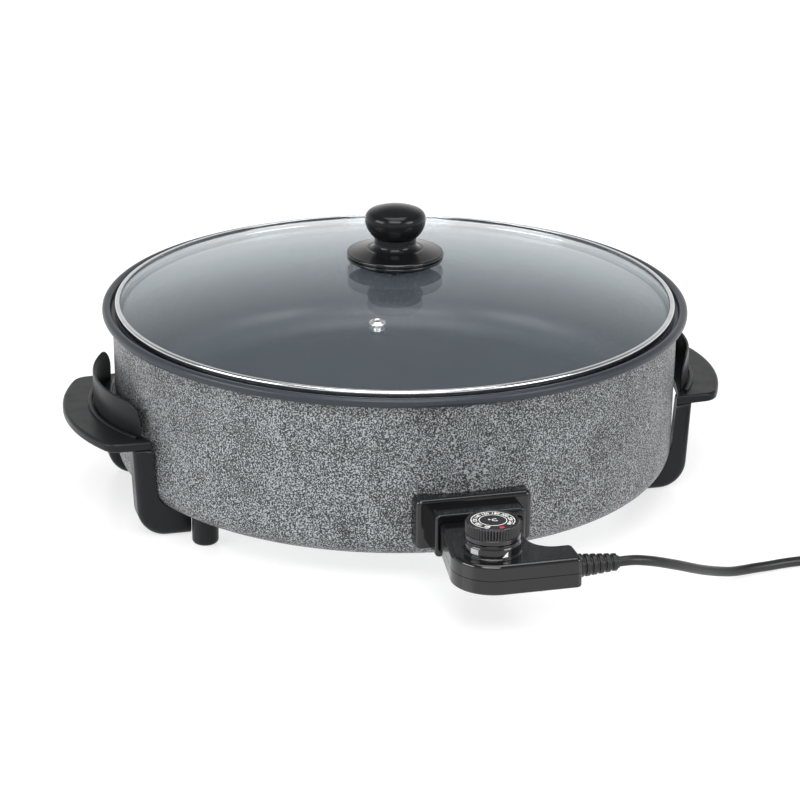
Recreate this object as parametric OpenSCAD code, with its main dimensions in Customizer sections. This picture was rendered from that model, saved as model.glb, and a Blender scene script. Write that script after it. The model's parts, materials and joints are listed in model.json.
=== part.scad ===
// Electric paella pan: a double-walled round pan carried by two handle brackets, with a glass
// lid that lifts off and a plug-in thermostat control on a mains lead.
// Millimetres, +Z up, the table at z = 0, the control at the front (-Y).

/* [Pan] */
// Outer diameter of the rolled rim
rim_d = 420; // [390:1:450]
// Height of the rim above the table
rim_h = 137.5; // [130:0.5:160]
// Radial width of the rolled rim
lip_w = 6.3; // [5:0.1:7]
// Height of the rolled rim
lip_h = 6.5; // [6:0.1:9]
// Depth of the lid seat below the top of the rim
seat_drop = 5; // [3:0.1:5]
// Overhang of the rim beyond the outer wall
lip_overhang = 7.2; // [7:0.1:9]
// Sheet thickness of the cooking pan
pan_t = 2; // [1.5:0.1:3]
// Depth from the rim down to the cooking floor
cook_depth = 87.5; // [80:0.5:88]
// Radius between the cooking floor and its wall
floor_fillet = 25; // [15:1:35]
// How much narrower the cooking wall is at its foot
cook_taper = 2; // [1:0.1:4]

/* [Outer wall] */
// Sheet thickness of the outer shell
shell_t = 1.2; // [0.8:0.1:1.6]
// Air gap between the cooking pan and the outer shell at the rim
wall_gap = 1.8; // [1.5:0.1:3]
// Height of the shell's base above the table
base_z = 19.5; // [16:0.5:22]
// Radius of the shell's lower edge
shell_corner = 16; // [10:0.5:20]
// How much narrower the shell is at its foot
shell_taper = 1.8; // [1:0.1:4]
// Gap between the base cover and the foot posts
cover_gap = 3.75; // [2:0.25:6]
// Overlap of the base cover on the flat ring
cover_lap = 8; // [6:0.5:9]
// Sheet thickness of the base cover
cover_t = 1.2; // [0.8:0.1:1.6]
// Depth of the cover's pressed-in middle
cover_press = 3; // [2:0.5:5]
// Number of air slots in the base cover
cover_slots = 8; // [4:1:12]

/* [Lid] */
// Clearance between the lid's band and the rim
lid_gap = 2.7; // [1.5:0.1:3]
// Radial width of the lid's steel band
band_w = 3.5; // [3:0.1:4.2]
// Sheet thickness of the band
band_t = 1.2; // [1:0.1:1.4]
// Thickness of the glass
glass_t = 4; // [3:0.5:5]
// Rise of the glass from its edge to its middle
glass_rise = 27; // [15:1:35]
// Distance of the steam vent from the middle of the lid
vent_reach = 111; // [80:1:150]
// Direction of the steam vent, seen from above
vent_angle = 249; // [0:1:360]
// Outer diameter of the steam vent's eyelet
vent_d = 11.3; // [9:0.1:14]
// Diameter of the steam vent's hole
vent_hole_d = 3.6; // [2.5:0.1:5]

/* [Lid knob] */
// Diameter of the knob's guard disc
knob_base_d = 70; // [60:1:80]
// Thickness of the guard disc at its edge
knob_base_t = 5; // [4:0.5:6]
// Widest diameter of the knob
knob_d = 43.6; // [38:0.2:50]
// Diameter of the knob's neck
knob_neck_d = 28.4; // [22:0.2:32]
// Height of the knob above its guard disc
knob_h = 31.5; // [28:0.5:40]
// Height of the knob's neck
knob_neck_h = 6; // [4:0.5:8]
// Height of the knob's dome above its widest line
knob_dome_h = 9.5; // [8:0.5:12]
// Radius of the knob's dome
knob_dome_r = 45; // [40:1:80]
// Rise of the guard disc from its edge to the knob's neck
knob_base_rise = 5; // [3:0.5:6]
// Diameter of the screw that holds the knob
knob_screw_d = 5; // [4:0.5:6]

/* [Handles] */
// Reach of each handle beyond the rim
grip_out = 31; // [25:0.5:40]
// Width of each handle along the wall
grip_w = 144; // [124:1:160]
// Radius of the handle's outer edge
grip_arc = 140; // [110:1:200]
// Corner radius of the handle
grip_corner = 13; // [8:0.5:20]
// Thickness of the handle plate
grip_t = 6.5; // [5:0.5:9]
// Height of the handle plate's upper face
grip_z = 71.5; // [60:0.5:75]
// Gap between the handle plate and the wall
grip_gap = 2.5; // [1:0.1:4]
// Setback of the finger guard from the handle's outer edge
guard_back = 20; // [18:0.5:26]
// Radius of the finger guard's curve
guard_arc = 110; // [100:0.5:130]
// Width of the finger guard along the wall
guard_w = 130; // [110:1:132]
// Height of the finger guard above the plate
guard_h = 24.5; // [15:0.5:30]
// Thickness of the finger guard
guard_t = 3.5; // [2.5:0.1:5]
// Rounding of the finger guard's top corners
guard_round = 14; // [6:0.5:16]
// Width of each leg
leg_w = 24; // [18:0.5:30]
// Setback of the leg's upper end from the handle's outer edge
leg_back = 36; // [30:0.5:37]
// How far the leg leans in towards its foot
leg_lean = 4; // [2:0.5:5]
// Gap between the wall and the upper end of each leg
leg_stand = 2.5; // [0.5:0.1:4]
// Rounding of the leg's lower outer corner
leg_round = 20; // [12:0.5:24]
// Length of the arm that each leg puts under the base
arm_len = 36; // [32:0.5:38]
// Diameter of the handle screws
handle_screw_d = 4; // [3:0.5:5]

/* [Feet] */
// Diameter of each foot post
foot_d = 18.5; // [14:0.5:24]
// Distance of the foot posts' axes in from the outer wall
foot_back = 20; // [17:0.5:26]
// Angle of the foot posts past the handle's middle
foot_angle = 29; // [26:0.5:40]
// Rounding of the foot's lower edge
foot_round = 3; // [1:0.5:5]

/* [Socket] */
// Width of the socket's frame
frame_w = 80; // [74:0.5:90]
// Depth of the frame's lower edge below the line of the pins
frame_drop = 12.5; // [11:0.5:14]
// Height of the frame
frame_h = 36; // [32:0.5:40]
// How far the frame stands out from the wall
frame_out = 9; // [7:0.5:12]
// Edge rounding of the frame
frame_edge = 3; // [2:0.5:4]
// How far the shroud stands out from the frame
shroud_out = 15.4; // [12:0.2:20]
// Side walls of the shroud beside the control's neck
shroud_t = 2; // [1.5:0.5:4]
// Roof of the shroud over the control's neck
shroud_roof = 5; // [3:0.5:6]
// Depth of the pocket that takes the control's neck
pocket_depth = 19; // [17:0.5:22]
// Distance of each terminal pin from the middle
pin_x = 14; // [12:0.5:16]
// Diameter of the terminal pins
pin_d = 5; // [4:0.5:6]
// Free length of the terminal pins in the pocket
pin_free = 14; // [10:0.5:16]
// Length of the terminal block
block_len = 22; // [18:0.5:26]

/* [Heating element] */
// Diameter of the heating ring
element_ring_d = 220; // [180:1:250]
// Diameter of the element's tube
element_d = 8; // [6.5:0.5:8]
// Bend radius where the ring turns to the terminals
element_bend = 14; // [10:0.5:20]
// Length of the probe's guide under the floor
guide_len = 22; // [15:0.5:26]

/* [Control] */
// Width of the control's neck
neck_w = 57; // [52:0.5:60]
// How far the neck's right-hand side steps in outside the shroud
throat_in = 7.5; // [4:0.5:8]
// Depth of the control's underside below the line of the pins
control_drop = 7.7; // [7:0.1:8]
// Height of the casing
control_h = 20.5; // [20:0.5:22]
// Height of the lower casing
seam_h = 9.9; // [9:0.1:11]
// How far the dial's axis lies in front of the shroud
dial_out = 50; // [46:0.5:60]
// Sideways shift of the dial's axis from the neck's middle
dial_shift = -7; // [-9:0.5:-5]
// Radius of the casing's round head
head_r = 27.5; // [24:0.5:30]
// Reach of the lead's arm past the neck's middle
arm_reach = 46; // [42:0.5:60]
// Width of the lead's arm
arm_w = 25.5; // [23:0.5:27]
// Radius of the inner corner between neck and arm
crook_r = 15; // [10:0.5:18]
// Edge rounding of the casing
case_edge = 2.5; // [1.5:0.1:3]
// Wall thickness of the casing
case_t = 2; // [1.5:0.1:2.5]
// Diameter of the dial's pedestal
pedestal_d = 37; // [32:0.5:40]
// Height of the pedestal
pedestal_h = 9; // [7:0.5:12]
// Length of the probe in front of the neck
probe_len = 68; // [60:1:80]
// Diameter of the probe
probe_d = 6.4; // [5:0.1:7]

/* [Dial] */
// Diameter of the dial
dial_d = 36; // [32:0.5:40]
// Height of the dial
dial_h = 11.5; // [9:0.5:14]
// Number of grip flutes round the dial
dial_flutes = 54; // [24:1:60]
// Depth of the flutes
flute_depth = 0.7; // [0.4:0.1:1]
// Height of the smooth collar under the flutes
dial_collar_h = 3; // [2:0.5:4]
// Diameter of the printed scale disc
scale_d = 30; // [24:0.5:31]
// Diameter of the dial's shaft
shaft_d = 6; // [5:0.5:7]

/* [Lead] */
// Length of the strain relief outside the casing
relief_len = 28; // [20:1:40]
// Diameter of the strain relief at the casing
relief_d = 15.5; // [12:0.5:17]
// Number of ribs on the strain relief
relief_ribs = 6; // [3:1:8]
// Diameter of the lead
cord_d = 6.8; // [5:0.1:8]
// Diameter of the plug's face
plug_d = 37; // [34:0.5:40]
// Length of the plug's body
plug_len = 40; // [34:0.5:48]
// Diameter of the plug's pins
plug_pin_d = 4.8; // [4:0.1:5]
// Length of the plug's pins
plug_pin_len = 19; // [16:0.5:20]
// Distance between the plug's pins
plug_pitch = 19; // [18:0.1:20]

/* [Clearances] */
// Gap between pieces that lift apart
lift_gap = 0.2; // [0.1:0.05:0.4]
// Radial gap of a turning or sliding fit
run_gap = 0.08; // [0.03:0.01:0.1]
// Gap round pieces that plug together
plug_gap = 0.5; // [0.3:0.1:0.8]
// Gap between fixed pieces of one assembly
fit_gap = 0.1; // [0.05:0.05:0.3]

/* [Hidden] */
$fn = 96;
eps = 0.5;
// Step left where a round blends into its neighbour
blend_step = 0.02;

// Pan and outer wall
rim_r = rim_d / 2;
lip_z = rim_h - lip_h;
seat_z = rim_h - seat_drop;
lip_in_r = rim_r - lip_w;
shell_top_r = rim_r - lip_overhang;
shell_r = shell_top_r - shell_taper;
cook_top_r = shell_top_r - shell_t - wall_gap - pan_t;
cook_r = cook_top_r - cook_taper;
floor_z = rim_h - cook_depth;
under_z = floor_z - pan_t;
flat_r = shell_r - shell_corner;
foot_reach = shell_r - foot_back;
opening_r = foot_reach - foot_d / 2 - cover_gap - cover_lap;
cover_r = opening_r + cover_lap;
cover_screw_r = opening_r + cover_lap / 2;
cover_screws = 6;
small_screw_d = 3;

// Lid
band_r = lip_in_r - lid_gap;
band_z = seat_z + lift_gap;
glass_edge_r = band_r - band_t - fit_gap;
glass_ball_r = (pow(glass_edge_r, 2) + pow(glass_rise, 2)) / (2 * glass_rise);
glass_z = band_z + band_t + fit_gap;
glass_top = glass_z + glass_t + glass_rise;
band_lip_r = band_r - band_w;
band_top = glass_z + glass_t + glass_fall(band_lip_r) + fit_gap + band_t;
knob_z = glass_top;
washer_t = 1.5;
washer_d = 3 * knob_screw_d;
washer_z = glass_top - glass_t - glass_drop(washer_d / 2) - washer_t;
guard_disc_z = knob_z + 1;
guard_disc_top = guard_disc_z + knob_base_t + knob_base_rise;
knob_top = guard_disc_top + knob_h;
vent_tilt = asin(vent_reach / glass_ball_r);
vent_barrel_r = vent_hole_d / 2 + 1;

// Handles and feet
grip_x = rim_r + grip_out;
grip_cx = grip_x - grip_arc;
grip_corner_y = grip_w / 2 - grip_corner;
grip_corner_x = grip_cx + sqrt(pow(grip_arc - grip_corner, 2) - pow(grip_corner_y, 2));
grip_corner_a = atan2(grip_corner_y, grip_corner_x - grip_cx);
grip_in_r = shell_top_r + grip_gap;
plate_z = grip_z - grip_t;
guard_x = grip_x - guard_back;
guard_cx = guard_x - guard_arc;
bead_w = 2;
bead_in = 1;
leg_top_x = grip_x - leg_back;
leg_foot_x = leg_top_x - leg_lean;
arm_x = leg_foot_x - arm_len;
leg_y = grip_w / 2 - leg_w / 2;
leg_gap = 0.4;
leg_spread = (leg_stand - leg_gap) * (lip_z - base_z - shell_corner) / (plate_z - base_z - shell_corner);
handle_screw_in = 9;
handle_screw_x = arm_x + handle_screw_in;
screw_rise = 3;
foot_x = foot_reach * cos(foot_angle);
foot_y = foot_reach * sin(foot_angle);

// Socket, element and probe: all in front of the pan, on the line x = 0
element_r = element_d / 2;
line_z = under_z - element_r;
frame_z = line_z - frame_drop;
control_z = line_z - control_drop;
wall_y = -wall_r(frame_z + frame_h / 2);
frame_y = wall_y - frame_out;
shroud_y = frame_y - shroud_out;
pocket_y = shroud_y + pocket_depth;
pin_r = pin_d / 2;
probe_r = probe_d / 2;
block_y = wall_y - 3;
block_w = 2 * pin_x + pin_d + 14;
block_h = 13;
block_z = line_z - 9;
block_end = block_y + block_len;
strip_t = 0.8;
shroud_w = neck_w + 2 * plug_gap + 2 * shroud_t;
shroud_z = frame_z + 1;
shroud_top = control_z + control_h + plug_gap + shroud_roof;
ring_r = element_ring_d / 2;
bend_x = pin_x + element_bend;
bend_y = -sqrt(pow(ring_r + element_bend, 2) - pow(bend_x, 2));
bend_a = atan2(bend_x, -bend_y);
bend_lap = 3;
guide_w = 2 * (pin_x - element_r) - 6;
guide_y = -(cook_r - floor_fillet);
socket_screw_x = frame_w / 2 - 7;
socket_screw_z = frame_z + 9;
socket_screw_len = 16;
socket_screw_in = 6;

// Control
neck_y = pocket_y - plug_gap;
seam_z = control_z + seam_h;
case_top = control_z + control_h;
dial_y = shroud_y - dial_out;
front_y = dial_y - head_r;
arm_back_y = front_y + arm_w;
arm_mid_y = front_y + arm_w / 2;
throat_x = neck_w / 2 - throat_in;
throat_y = shroud_y - 1;
crook_x = throat_x + crook_r;
crook_y = arm_back_y + crook_r;
pedestal_z = case_top + pedestal_h;
pedestal_t = 2;
boss_r = 3.2;
boss_in = 7;
neck_screw_y = shroud_y - 16;
case_screw_spots = [
    [boss_in - neck_w / 2, neck_screw_y], [throat_x - boss_in, neck_screw_y],
    [arm_reach - 1.02 * arm_w, front_y + 0.25 * arm_w]
];
thermo_y = dial_y + 4;
thermo_z = control_z + case_t;
thermo_h = 5;
blade_t = 0.8;
blade_z = [thermo_z + thermo_h, thermo_z + thermo_h + 4.5];
blade_end_y = dial_y - 12;
thermo_w = 22;
blade_root = 20;
blade_root_y = dial_y + blade_root;
bush_r = shaft_d / 2 + 2.2;
window_angle = 215;
lamp_r = 2.2;

// Dial
dial_z = pedestal_z + 0.5;
dial_top = dial_z + dial_h;
scale_t = 0.8;
shaft_foot_z = blade_z[1] + blade_t + 0.3;

// The whole object is centred front to back between the rim and the control
pan_y = -(rim_r + front_y) / 2;

// Lead: hand-chosen route from the strain relief to the coil, as lengths along X and Y and the
// share of the drop from the control to the table
cord_r = cord_d / 2;
relief_end_x = arm_reach + relief_len;
relief_tip_d = cord_d + 4;
lead_route = [
    [10, 0, 0], [20, 1.5, 0.047], [30, 5, 0.129], [40, 10, 0.234], [50, 16, 0.35], [60, 23, 0.479],
    [70, 30.5, 0.607], [80, 38, 0.724], [90, 45, 0.829], [100, 51, 0.911], [110, 56, 0.958],
    [120, 59.5, 0.981], [130, 62, 0.998], [142, 64, 1], [156, 65, 1], [172, 65.7, 0.995],
    [190, 66, 0.986], [208, 66, 0.977], [226, 66, 0.972]
];

// Coil of the spare lead: in on the lower layer, out again on the upper one
coil_pitch = cord_d + 0.6;
coil_turns = 1.875;
coil_out_r = 45;
coil_in_r = coil_out_r - coil_turns * coil_pitch;
coil_rings = 24;
tie_t = 0.9;
tie_w = 8;
coil_z = cord_r + tie_t + 0.3;
coil_x = relief_end_x + lead_route[len(lead_route) - 1][0] + cord_d;
coil_y = arm_mid_y + lead_route[len(lead_route) - 1][1] + coil_out_r;
coil_end_turn = 2 * coil_turns + 0.5;
plug_z = plug_d / 2;
tail_len = 46;
tail_end_y = coil_y + cord_d + tail_len;
plug_x = coil_x + coil_out_r;

// Drop of the domed glass from its middle to the distance r
function glass_drop(r) = glass_ball_r - sqrt(pow(glass_ball_r, 2) - r * r);

// Height of the domed glass at the distance r above its edge
function glass_fall(r) = glass_rise - glass_drop(r);

// Radius of the outer wall at a height above its rounded foot
function wall_r(z) =
    shell_r + shell_taper * (z - base_z - shell_corner) / (lip_z - base_z - shell_corner);

// Puts a piece on the pan's own axis
module on_pan() {
    translate([0, pan_y, 0]) children();
}

// Rectangle with round corners between two opposite corners
module round_rect(low, high, r) {
    translate([low[0] + r, low[1]]) square([high[0] - low[0] - 2 * r, high[1] - low[1]]);
    translate([low[0], low[1] + r]) square([high[0] - low[0], high[1] - low[1] - 2 * r]);
    for (x = [low[0] + r, high[0] - r], y = [low[1] + r, high[1] - r])
        translate([x, y]) circle(r = r, $fn = 48);
}

// Half section of a round vessel, filled from its axis to its wall
module vessel_section(foot_r, top_r, z, top_z, fillet) {
    polygon([[0, z + fillet], [foot_r, z + fillet], [top_r, top_z], [0, top_z]]);
    translate([0, z]) square([foot_r - fillet, fillet]);
    intersection() {
        translate([foot_r - fillet, z + fillet]) circle(r = fillet);
        translate([0, z]) square([foot_r + fillet, fillet]);
    }
}

// Bar along Y with the section that is drawn in X and Z
module along_y(from_y, to_y) {
    translate([0, to_y, 0]) rotate([90, 0, 0]) linear_extrude(to_y - from_y) children();
}

// Bar along X with the section that is drawn in Y and Z
module along_x(from_x, to_x) {
    translate([from_x, 0, 0]) rotate([90, 0, 90]) linear_extrude(to_x - from_x) children();
}

// Pan-head screw pointing up, its head's upper face at z = 0
module screw(d, length) {
    cylinder(d = d, h = length, $fn = 32);
    difference() {
        translate([0, 0, -0.6 * d]) cylinder(d = 1.9 * d, h = 0.6 * d, $fn = 32);
        for (a = [0, 90]) rotate([0, 0, a])
            translate([-0.6 * d, -0.12 * d, -0.7 * d]) cube([1.2 * d, 0.24 * d, 0.45 * d]);
    }
}

module inner_pan() {
    color("slategray") on_pan() rotate_extrude($fn = 180) difference() {
        union() {
            vessel_section(cook_r + pan_t, cook_top_r + pan_t, under_z, seat_z, floor_fillet + pan_t);
            translate([0, lip_z]) square([lip_in_r + lip_w / 2, lip_h - seat_drop]);
            round_rect([lip_in_r, lip_z], [rim_r, rim_h], 0.45 * min(lip_w, lip_h));
            translate([lip_in_r, lip_z]) square([lip_w / 2, lip_h - seat_drop]);
        }
        vessel_section(cook_r, cook_top_r, floor_z, rim_h + eps, floor_fillet);
    }
}

// Solid of the outer wall's shape, grown sideways by a gap
module wall_solid(gap = 0, spread = 0) {
    rotate_extrude($fn = 180)
        vessel_section(shell_r + gap, shell_top_r + gap + spread, base_z, lip_z, shell_corner + gap);
}

module outer_shell() {
    color("dimgray") on_pan() difference() {
        rotate_extrude($fn = 180) difference() {
            vessel_section(shell_r, shell_top_r, base_z, lip_z, shell_corner);
            vessel_section(shell_r - shell_t, shell_top_r - shell_t, base_z + shell_t,
                lip_z + eps, shell_corner - shell_t);
            translate([0, base_z - eps]) square([opening_r, shell_t + 2 * eps]);
        }
        translate([-block_w / 2 - plug_gap, wall_y - 5, block_z - strip_t - plug_gap])
            cube([block_w + 2 * plug_gap, block_len, block_h + strip_t + 2 * plug_gap]);
        at_socket_screws()
            cylinder(d = small_screw_d + 2 * fit_gap, h = 2 * socket_screw_len, center = true, $fn = 32);
        at_cover_screws()
            cylinder(d = small_screw_d + 2 * fit_gap, h = 4 * shell_t, center = true, $fn = 32);
        at_handle_screws()
            cylinder(d = handle_screw_d + 2 * fit_gap, h = 4 * shell_t, center = true, $fn = 32);
        at_feet()
            cylinder(d = handle_screw_d + 2 * fit_gap, h = 4 * shell_t, center = true, $fn = 32);
    }
}

// Places of the screws in the base cover
module at_cover_screws() {
    for (i = [0 : cover_screws - 1]) rotate([0, 0, 360 * i / cover_screws])
        translate([cover_screw_r, 0, base_z]) children();
}

// Places of the screws that hold the socket, pointing out through the wall
module at_socket_screws() {
    for (s = [-1, 1]) translate([s * socket_screw_x, wall_y + shell_t + socket_screw_in, socket_screw_z])
        rotate([90, 0, 0]) children();
}

// Places of the screws that hold the two handles, at the base's underside
module at_handle_screws() {
    for (sx = [-1, 1], sy = [-1, 1]) translate([sx * handle_screw_x, sy * leg_y, base_z]) children();
}

// Places of the two foot posts, at the base's underside
module at_feet() {
    for (s = [-1, 1]) translate([s * foot_x, s * foot_y, base_z]) children();
}

module base_cover() {
    press_r = opening_r - 2 * cover_press;
    slot_len = 0.15 * opening_r;
    slot_w = slot_len / 6;
    color("gray") on_pan() difference() {
        translate([0, 0, base_z - cover_t]) rotate_extrude($fn = 144) polygon([
            [0, cover_press], [press_r - cover_press, cover_press], [press_r, 0], [cover_r, 0],
            [cover_r, cover_t], [press_r, cover_t], [press_r - cover_press, cover_press + cover_t],
            [0, cover_press + cover_t]
        ]);
        for (i = [0 : cover_slots - 1]) rotate([0, 0, 360 * (i + 0.5) / cover_slots])
            translate([0.6 * press_r, 0, base_z - 2 * cover_t]) linear_extrude(4 * cover_t + cover_press) {
                square([slot_len, slot_w], center = true);
                for (s = [-0.5, 0.5]) translate([s * slot_len, 0]) circle(d = slot_w, $fn = 32);
            }
        at_cover_screws()
            cylinder(d = small_screw_d + 2 * fit_gap, h = 4 * cover_t, center = true, $fn = 32);
    }
}

module base_screws() {
    color("silver") on_pan() at_cover_screws()
        translate([0, 0, -cover_t]) screw(small_screw_d, cover_t + shell_t + 2.5);
}

module heating_element() {
    color("darkgray") on_pan() translate([0, 0, line_z]) {
        rotate([0, 0, -90 + bend_a]) rotate_extrude(angle = 360 - 2 * bend_a, $fn = 144)
            translate([ring_r, 0]) circle(r = element_r, $fn = 32);
        for (s = [0, 1]) mirror([s, 0, 0]) {
            translate([bend_x, bend_y, 0]) rotate([0, 0, 90 + bend_a - bend_lap])
                rotate_extrude(angle = 90 - bend_a + 2 * bend_lap, $fn = 96)
                    translate([element_bend, 0]) circle(r = element_r - 3 * blend_step, $fn = 32);
            translate([pin_x, bend_y, 0]) rotate([90, 0, 0])
                cylinder(r = element_r, h = bend_y - block_end, $fn = 32);
        }
    }
}

module terminal_pins() {
    color("silver") on_pan() for (s = [-1, 1]) translate([s * pin_x, block_end, line_z])
        rotate([90, 0, 0]) rotate_extrude($fn = 32) {
            square([pin_r, block_end - pocket_y + pin_free - pin_r / 2]);
            translate([0, block_end - pocket_y + pin_free - pin_r / 2])
                polygon([[0, 0], [pin_r, 0], [pin_r / 2, pin_r / 2], [0, pin_r / 2]]);
        }
}

// Bores for the two pins and the probe, along Y between two depths
module line_bores(from_y, to_y, pin_gap, probe_gap) {
    for (s = [-1, 1]) translate([s * pin_x, to_y, line_z]) rotate([90, 0, 0])
        cylinder(r = pin_r + pin_gap, h = to_y - from_y, $fn = 32);
    translate([0, to_y, line_z]) rotate([90, 0, 0])
        cylinder(r = probe_r + probe_gap, h = to_y - from_y, $fn = 48);
}

module terminal_block() {
    color("linen") on_pan() difference() {
        translate([-block_w / 2, block_y, block_z]) cube([block_w, block_len, block_h]);
        line_bores(block_y - eps, block_end + eps, fit_gap, plug_gap);
        for (s = [-1, 1]) translate([s * pin_x, block_end, block_z])
            cube([pin_d + 4, 8, 4], center = true);
    }
}

module earth_strip() {
    strip_w = 8;
    color("silver") on_pan() translate([-strip_w / 2, 0, 0]) {
        translate([0, block_y, block_z - strip_t]) cube([strip_w, block_len + 12, strip_t]);
        translate([0, block_end + 12 - strip_t, base_z + shell_t])
            cube([strip_w, strip_t, block_z - base_z - shell_t]);
        translate([0, block_end + 12 - strip_t, base_z + shell_t]) cube([strip_w, 8, strip_t]);
    }
}

module probe_guide() {
    color("gainsboro") on_pan() difference() {
        translate([-guide_w / 2, guide_y, line_z - probe_r - 3])
            cube([guide_w, guide_len, under_z - line_z + probe_r + 3]);
        line_bores(guide_y - eps, guide_y + guide_len + eps, 0, run_gap);
    }
}

module socket_housing() {
    frame_top = frame_z + frame_h;
    color("black") on_pan() difference() {
        union() {
            hull() {
                along_y(frame_y + frame_edge, -wall_r(base_z) + 14)
                    round_rect([-frame_w / 2, frame_z], [frame_w / 2, frame_top], 4);
                along_y(frame_y, frame_y + frame_edge) round_rect(
                    [-frame_w / 2 + frame_edge, frame_z + frame_edge],
                    [frame_w / 2 - frame_edge, frame_top - frame_edge], 3);
            }
            hull() {
                along_y(shroud_y + 1, frame_y + frame_edge)
                    round_rect([-shroud_w / 2, shroud_z], [shroud_w / 2, shroud_top], 3);
                along_y(shroud_y, shroud_y + 1)
                    round_rect([-shroud_w / 2 + 1, shroud_z + 1], [shroud_w / 2 - 1, shroud_top - 1], 2);
            }
        }
        wall_solid(fit_gap);
        along_y(shroud_y - eps, pocket_y) round_rect(
            [-neck_w / 2 - plug_gap, control_z - plug_gap],
            [neck_w / 2 + plug_gap, control_z + control_h + plug_gap], case_edge + plug_gap);
        translate([-block_w / 2 - fit_gap, block_y, block_z - strip_t - 2 * fit_gap])
            cube([block_w + 2 * fit_gap, block_len, block_h + strip_t + 3 * fit_gap]);
        line_bores(pocket_y - eps, block_y + eps, fit_gap, plug_gap);
        at_socket_screws()
            cylinder(d = small_screw_d + 2 * fit_gap, h = socket_screw_len + fit_gap, $fn = 32);
    }
}

module socket_screws() {
    head_x = socket_screw_x + small_screw_d;
    seat = socket_screw_in + wall_y + shell_t
        + sqrt(pow(wall_r(socket_screw_z) - shell_t, 2) - pow(head_x, 2));
    color("silver") on_pan() at_socket_screws()
        translate([0, 0, seat]) screw(small_screw_d, socket_screw_len - seat);
}

// Outline of the handle plate on the right-hand side, seen from above
module plate_outline() {
    half = grip_w / 2;
    tip = 2 * grip_arc;
    difference() {
        union() {
            intersection() {
                translate([grip_cx, 0]) circle(r = grip_arc, $fn = 180);
                polygon([
                    [grip_cx, 0],
                    [grip_cx + tip * cos(grip_corner_a), -tip * sin(grip_corner_a)],
                    [grip_cx + tip * cos(grip_corner_a), tip * sin(grip_corner_a)]
                ]);
            }
            for (s = [-1, 1]) translate([grip_corner_x, s * grip_corner_y])
                circle(r = grip_corner - blend_step);
            polygon([
                [0, -half], [grip_corner_x, -half], [grip_corner_x, -grip_corner_y], [grip_cx, 0],
                [grip_corner_x, grip_corner_y], [grip_corner_x, half], [0, half]
            ]);
        }
        circle(r = grip_in_r, $fn = 180);
    }
}

// Finger guard: a curved wall with round upper corners, standing on the plate
module finger_guard() {
    difference() {
        intersection() {
            linear_extrude(grip_z + guard_h) difference() {
                translate([guard_cx, 0]) circle(r = guard_arc, $fn = 144);
                translate([guard_cx, 0]) circle(r = guard_arc - guard_t, $fn = 144);
            }
            along_x(guard_cx, guard_x + eps) round_rect(
                [-guard_w / 2, plate_z - 2 * guard_round], [guard_w / 2, grip_z + guard_h], guard_round);
            translate([guard_cx, -guard_w, plate_z])
                cube([guard_arc + eps, 2 * guard_w, guard_h + 2 * grip_t]);
        }
        cylinder(r = grip_in_r, h = grip_z + 2 * guard_h, $fn = 180);
    }
}

// Low bead along the foot of the finger guard
module guard_bead() {
    difference() {
        intersection() {
            translate([0, 0, plate_z]) linear_extrude(grip_t + bead_w) difference() {
                translate([guard_cx, 0]) circle(r = guard_arc + bead_w, $fn = 144);
                translate([guard_cx, 0]) circle(r = guard_arc - eps, $fn = 144);
            }
            translate([guard_cx, bead_in - guard_w / 2, plate_z])
                cube([2 * guard_arc, guard_w - 2 * bead_in, 2 * grip_t]);
        }
        cylinder(r = grip_in_r, h = grip_z + 2 * guard_h, $fn = 180);
    }
}

// Side view of a leg with the arm that goes under the base
module leg_section() {
    polygon([
        [arm_x, 0], [leg_foot_x - leg_round, 0], [leg_foot_x - leg_round, leg_round],
        [leg_foot_x, leg_round], [leg_top_x, plate_z], [arm_x, plate_z]
    ]);
    translate([leg_foot_x - leg_round, leg_round]) circle(r = leg_round);
}

// One handle bracket with its two legs, on the right-hand side
module handle() {
    difference() {
        union() {
            translate([0, 0, plate_z]) linear_extrude(grip_t) plate_outline();
            finger_guard();
            guard_bead();
            for (s = [-1, 1]) difference() {
                along_y(s * leg_y - leg_w / 2, s * leg_y + leg_w / 2) leg_section();
                wall_solid(leg_gap, leg_spread);
            }
        }
        for (s = [-1, 1]) translate([handle_screw_x, s * leg_y, 0]) {
            cylinder(d = handle_screw_d + 2 * fit_gap, h = 3 * base_z, $fn = 32);
            translate([0, 0, -eps])
                cylinder(d = 2.3 * handle_screw_d, h = base_z - screw_rise + eps, $fn = 32);
        }
    }
}

module right_handle() {
    color("#1c1c1e") on_pan() handle();
}

module left_handle() {
    color("#1c1c1e") on_pan() rotate([0, 0, 180]) handle();
}

module handle_screws() {
    color("silver") on_pan() at_handle_screws()
        translate([0, 0, -screw_rise]) screw(handle_screw_d, screw_rise + shell_t + 3);
}

module foot_posts() {
    color("#202022") on_pan() at_feet() rotate([180, 0, 0]) rotate_extrude($fn = 64) difference() {
        union() {
            square([foot_d / 2, base_z - foot_round]);
            square([foot_d / 2 - foot_round, base_z]);
            translate([foot_d / 2 - foot_round, base_z - foot_round]) circle(r = foot_round, $fn = 48);
        }
        translate([-eps, -eps]) square([handle_screw_d / 2 + fit_gap + eps, base_z + 2 * eps]);
        translate([-eps, screw_rise]) square([1.15 * handle_screw_d + eps, base_z]);
    }
}

module foot_screws() {
    color("silver") on_pan() at_feet()
        translate([0, 0, -screw_rise]) screw(handle_screw_d, screw_rise + shell_t + 3);
}

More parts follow.
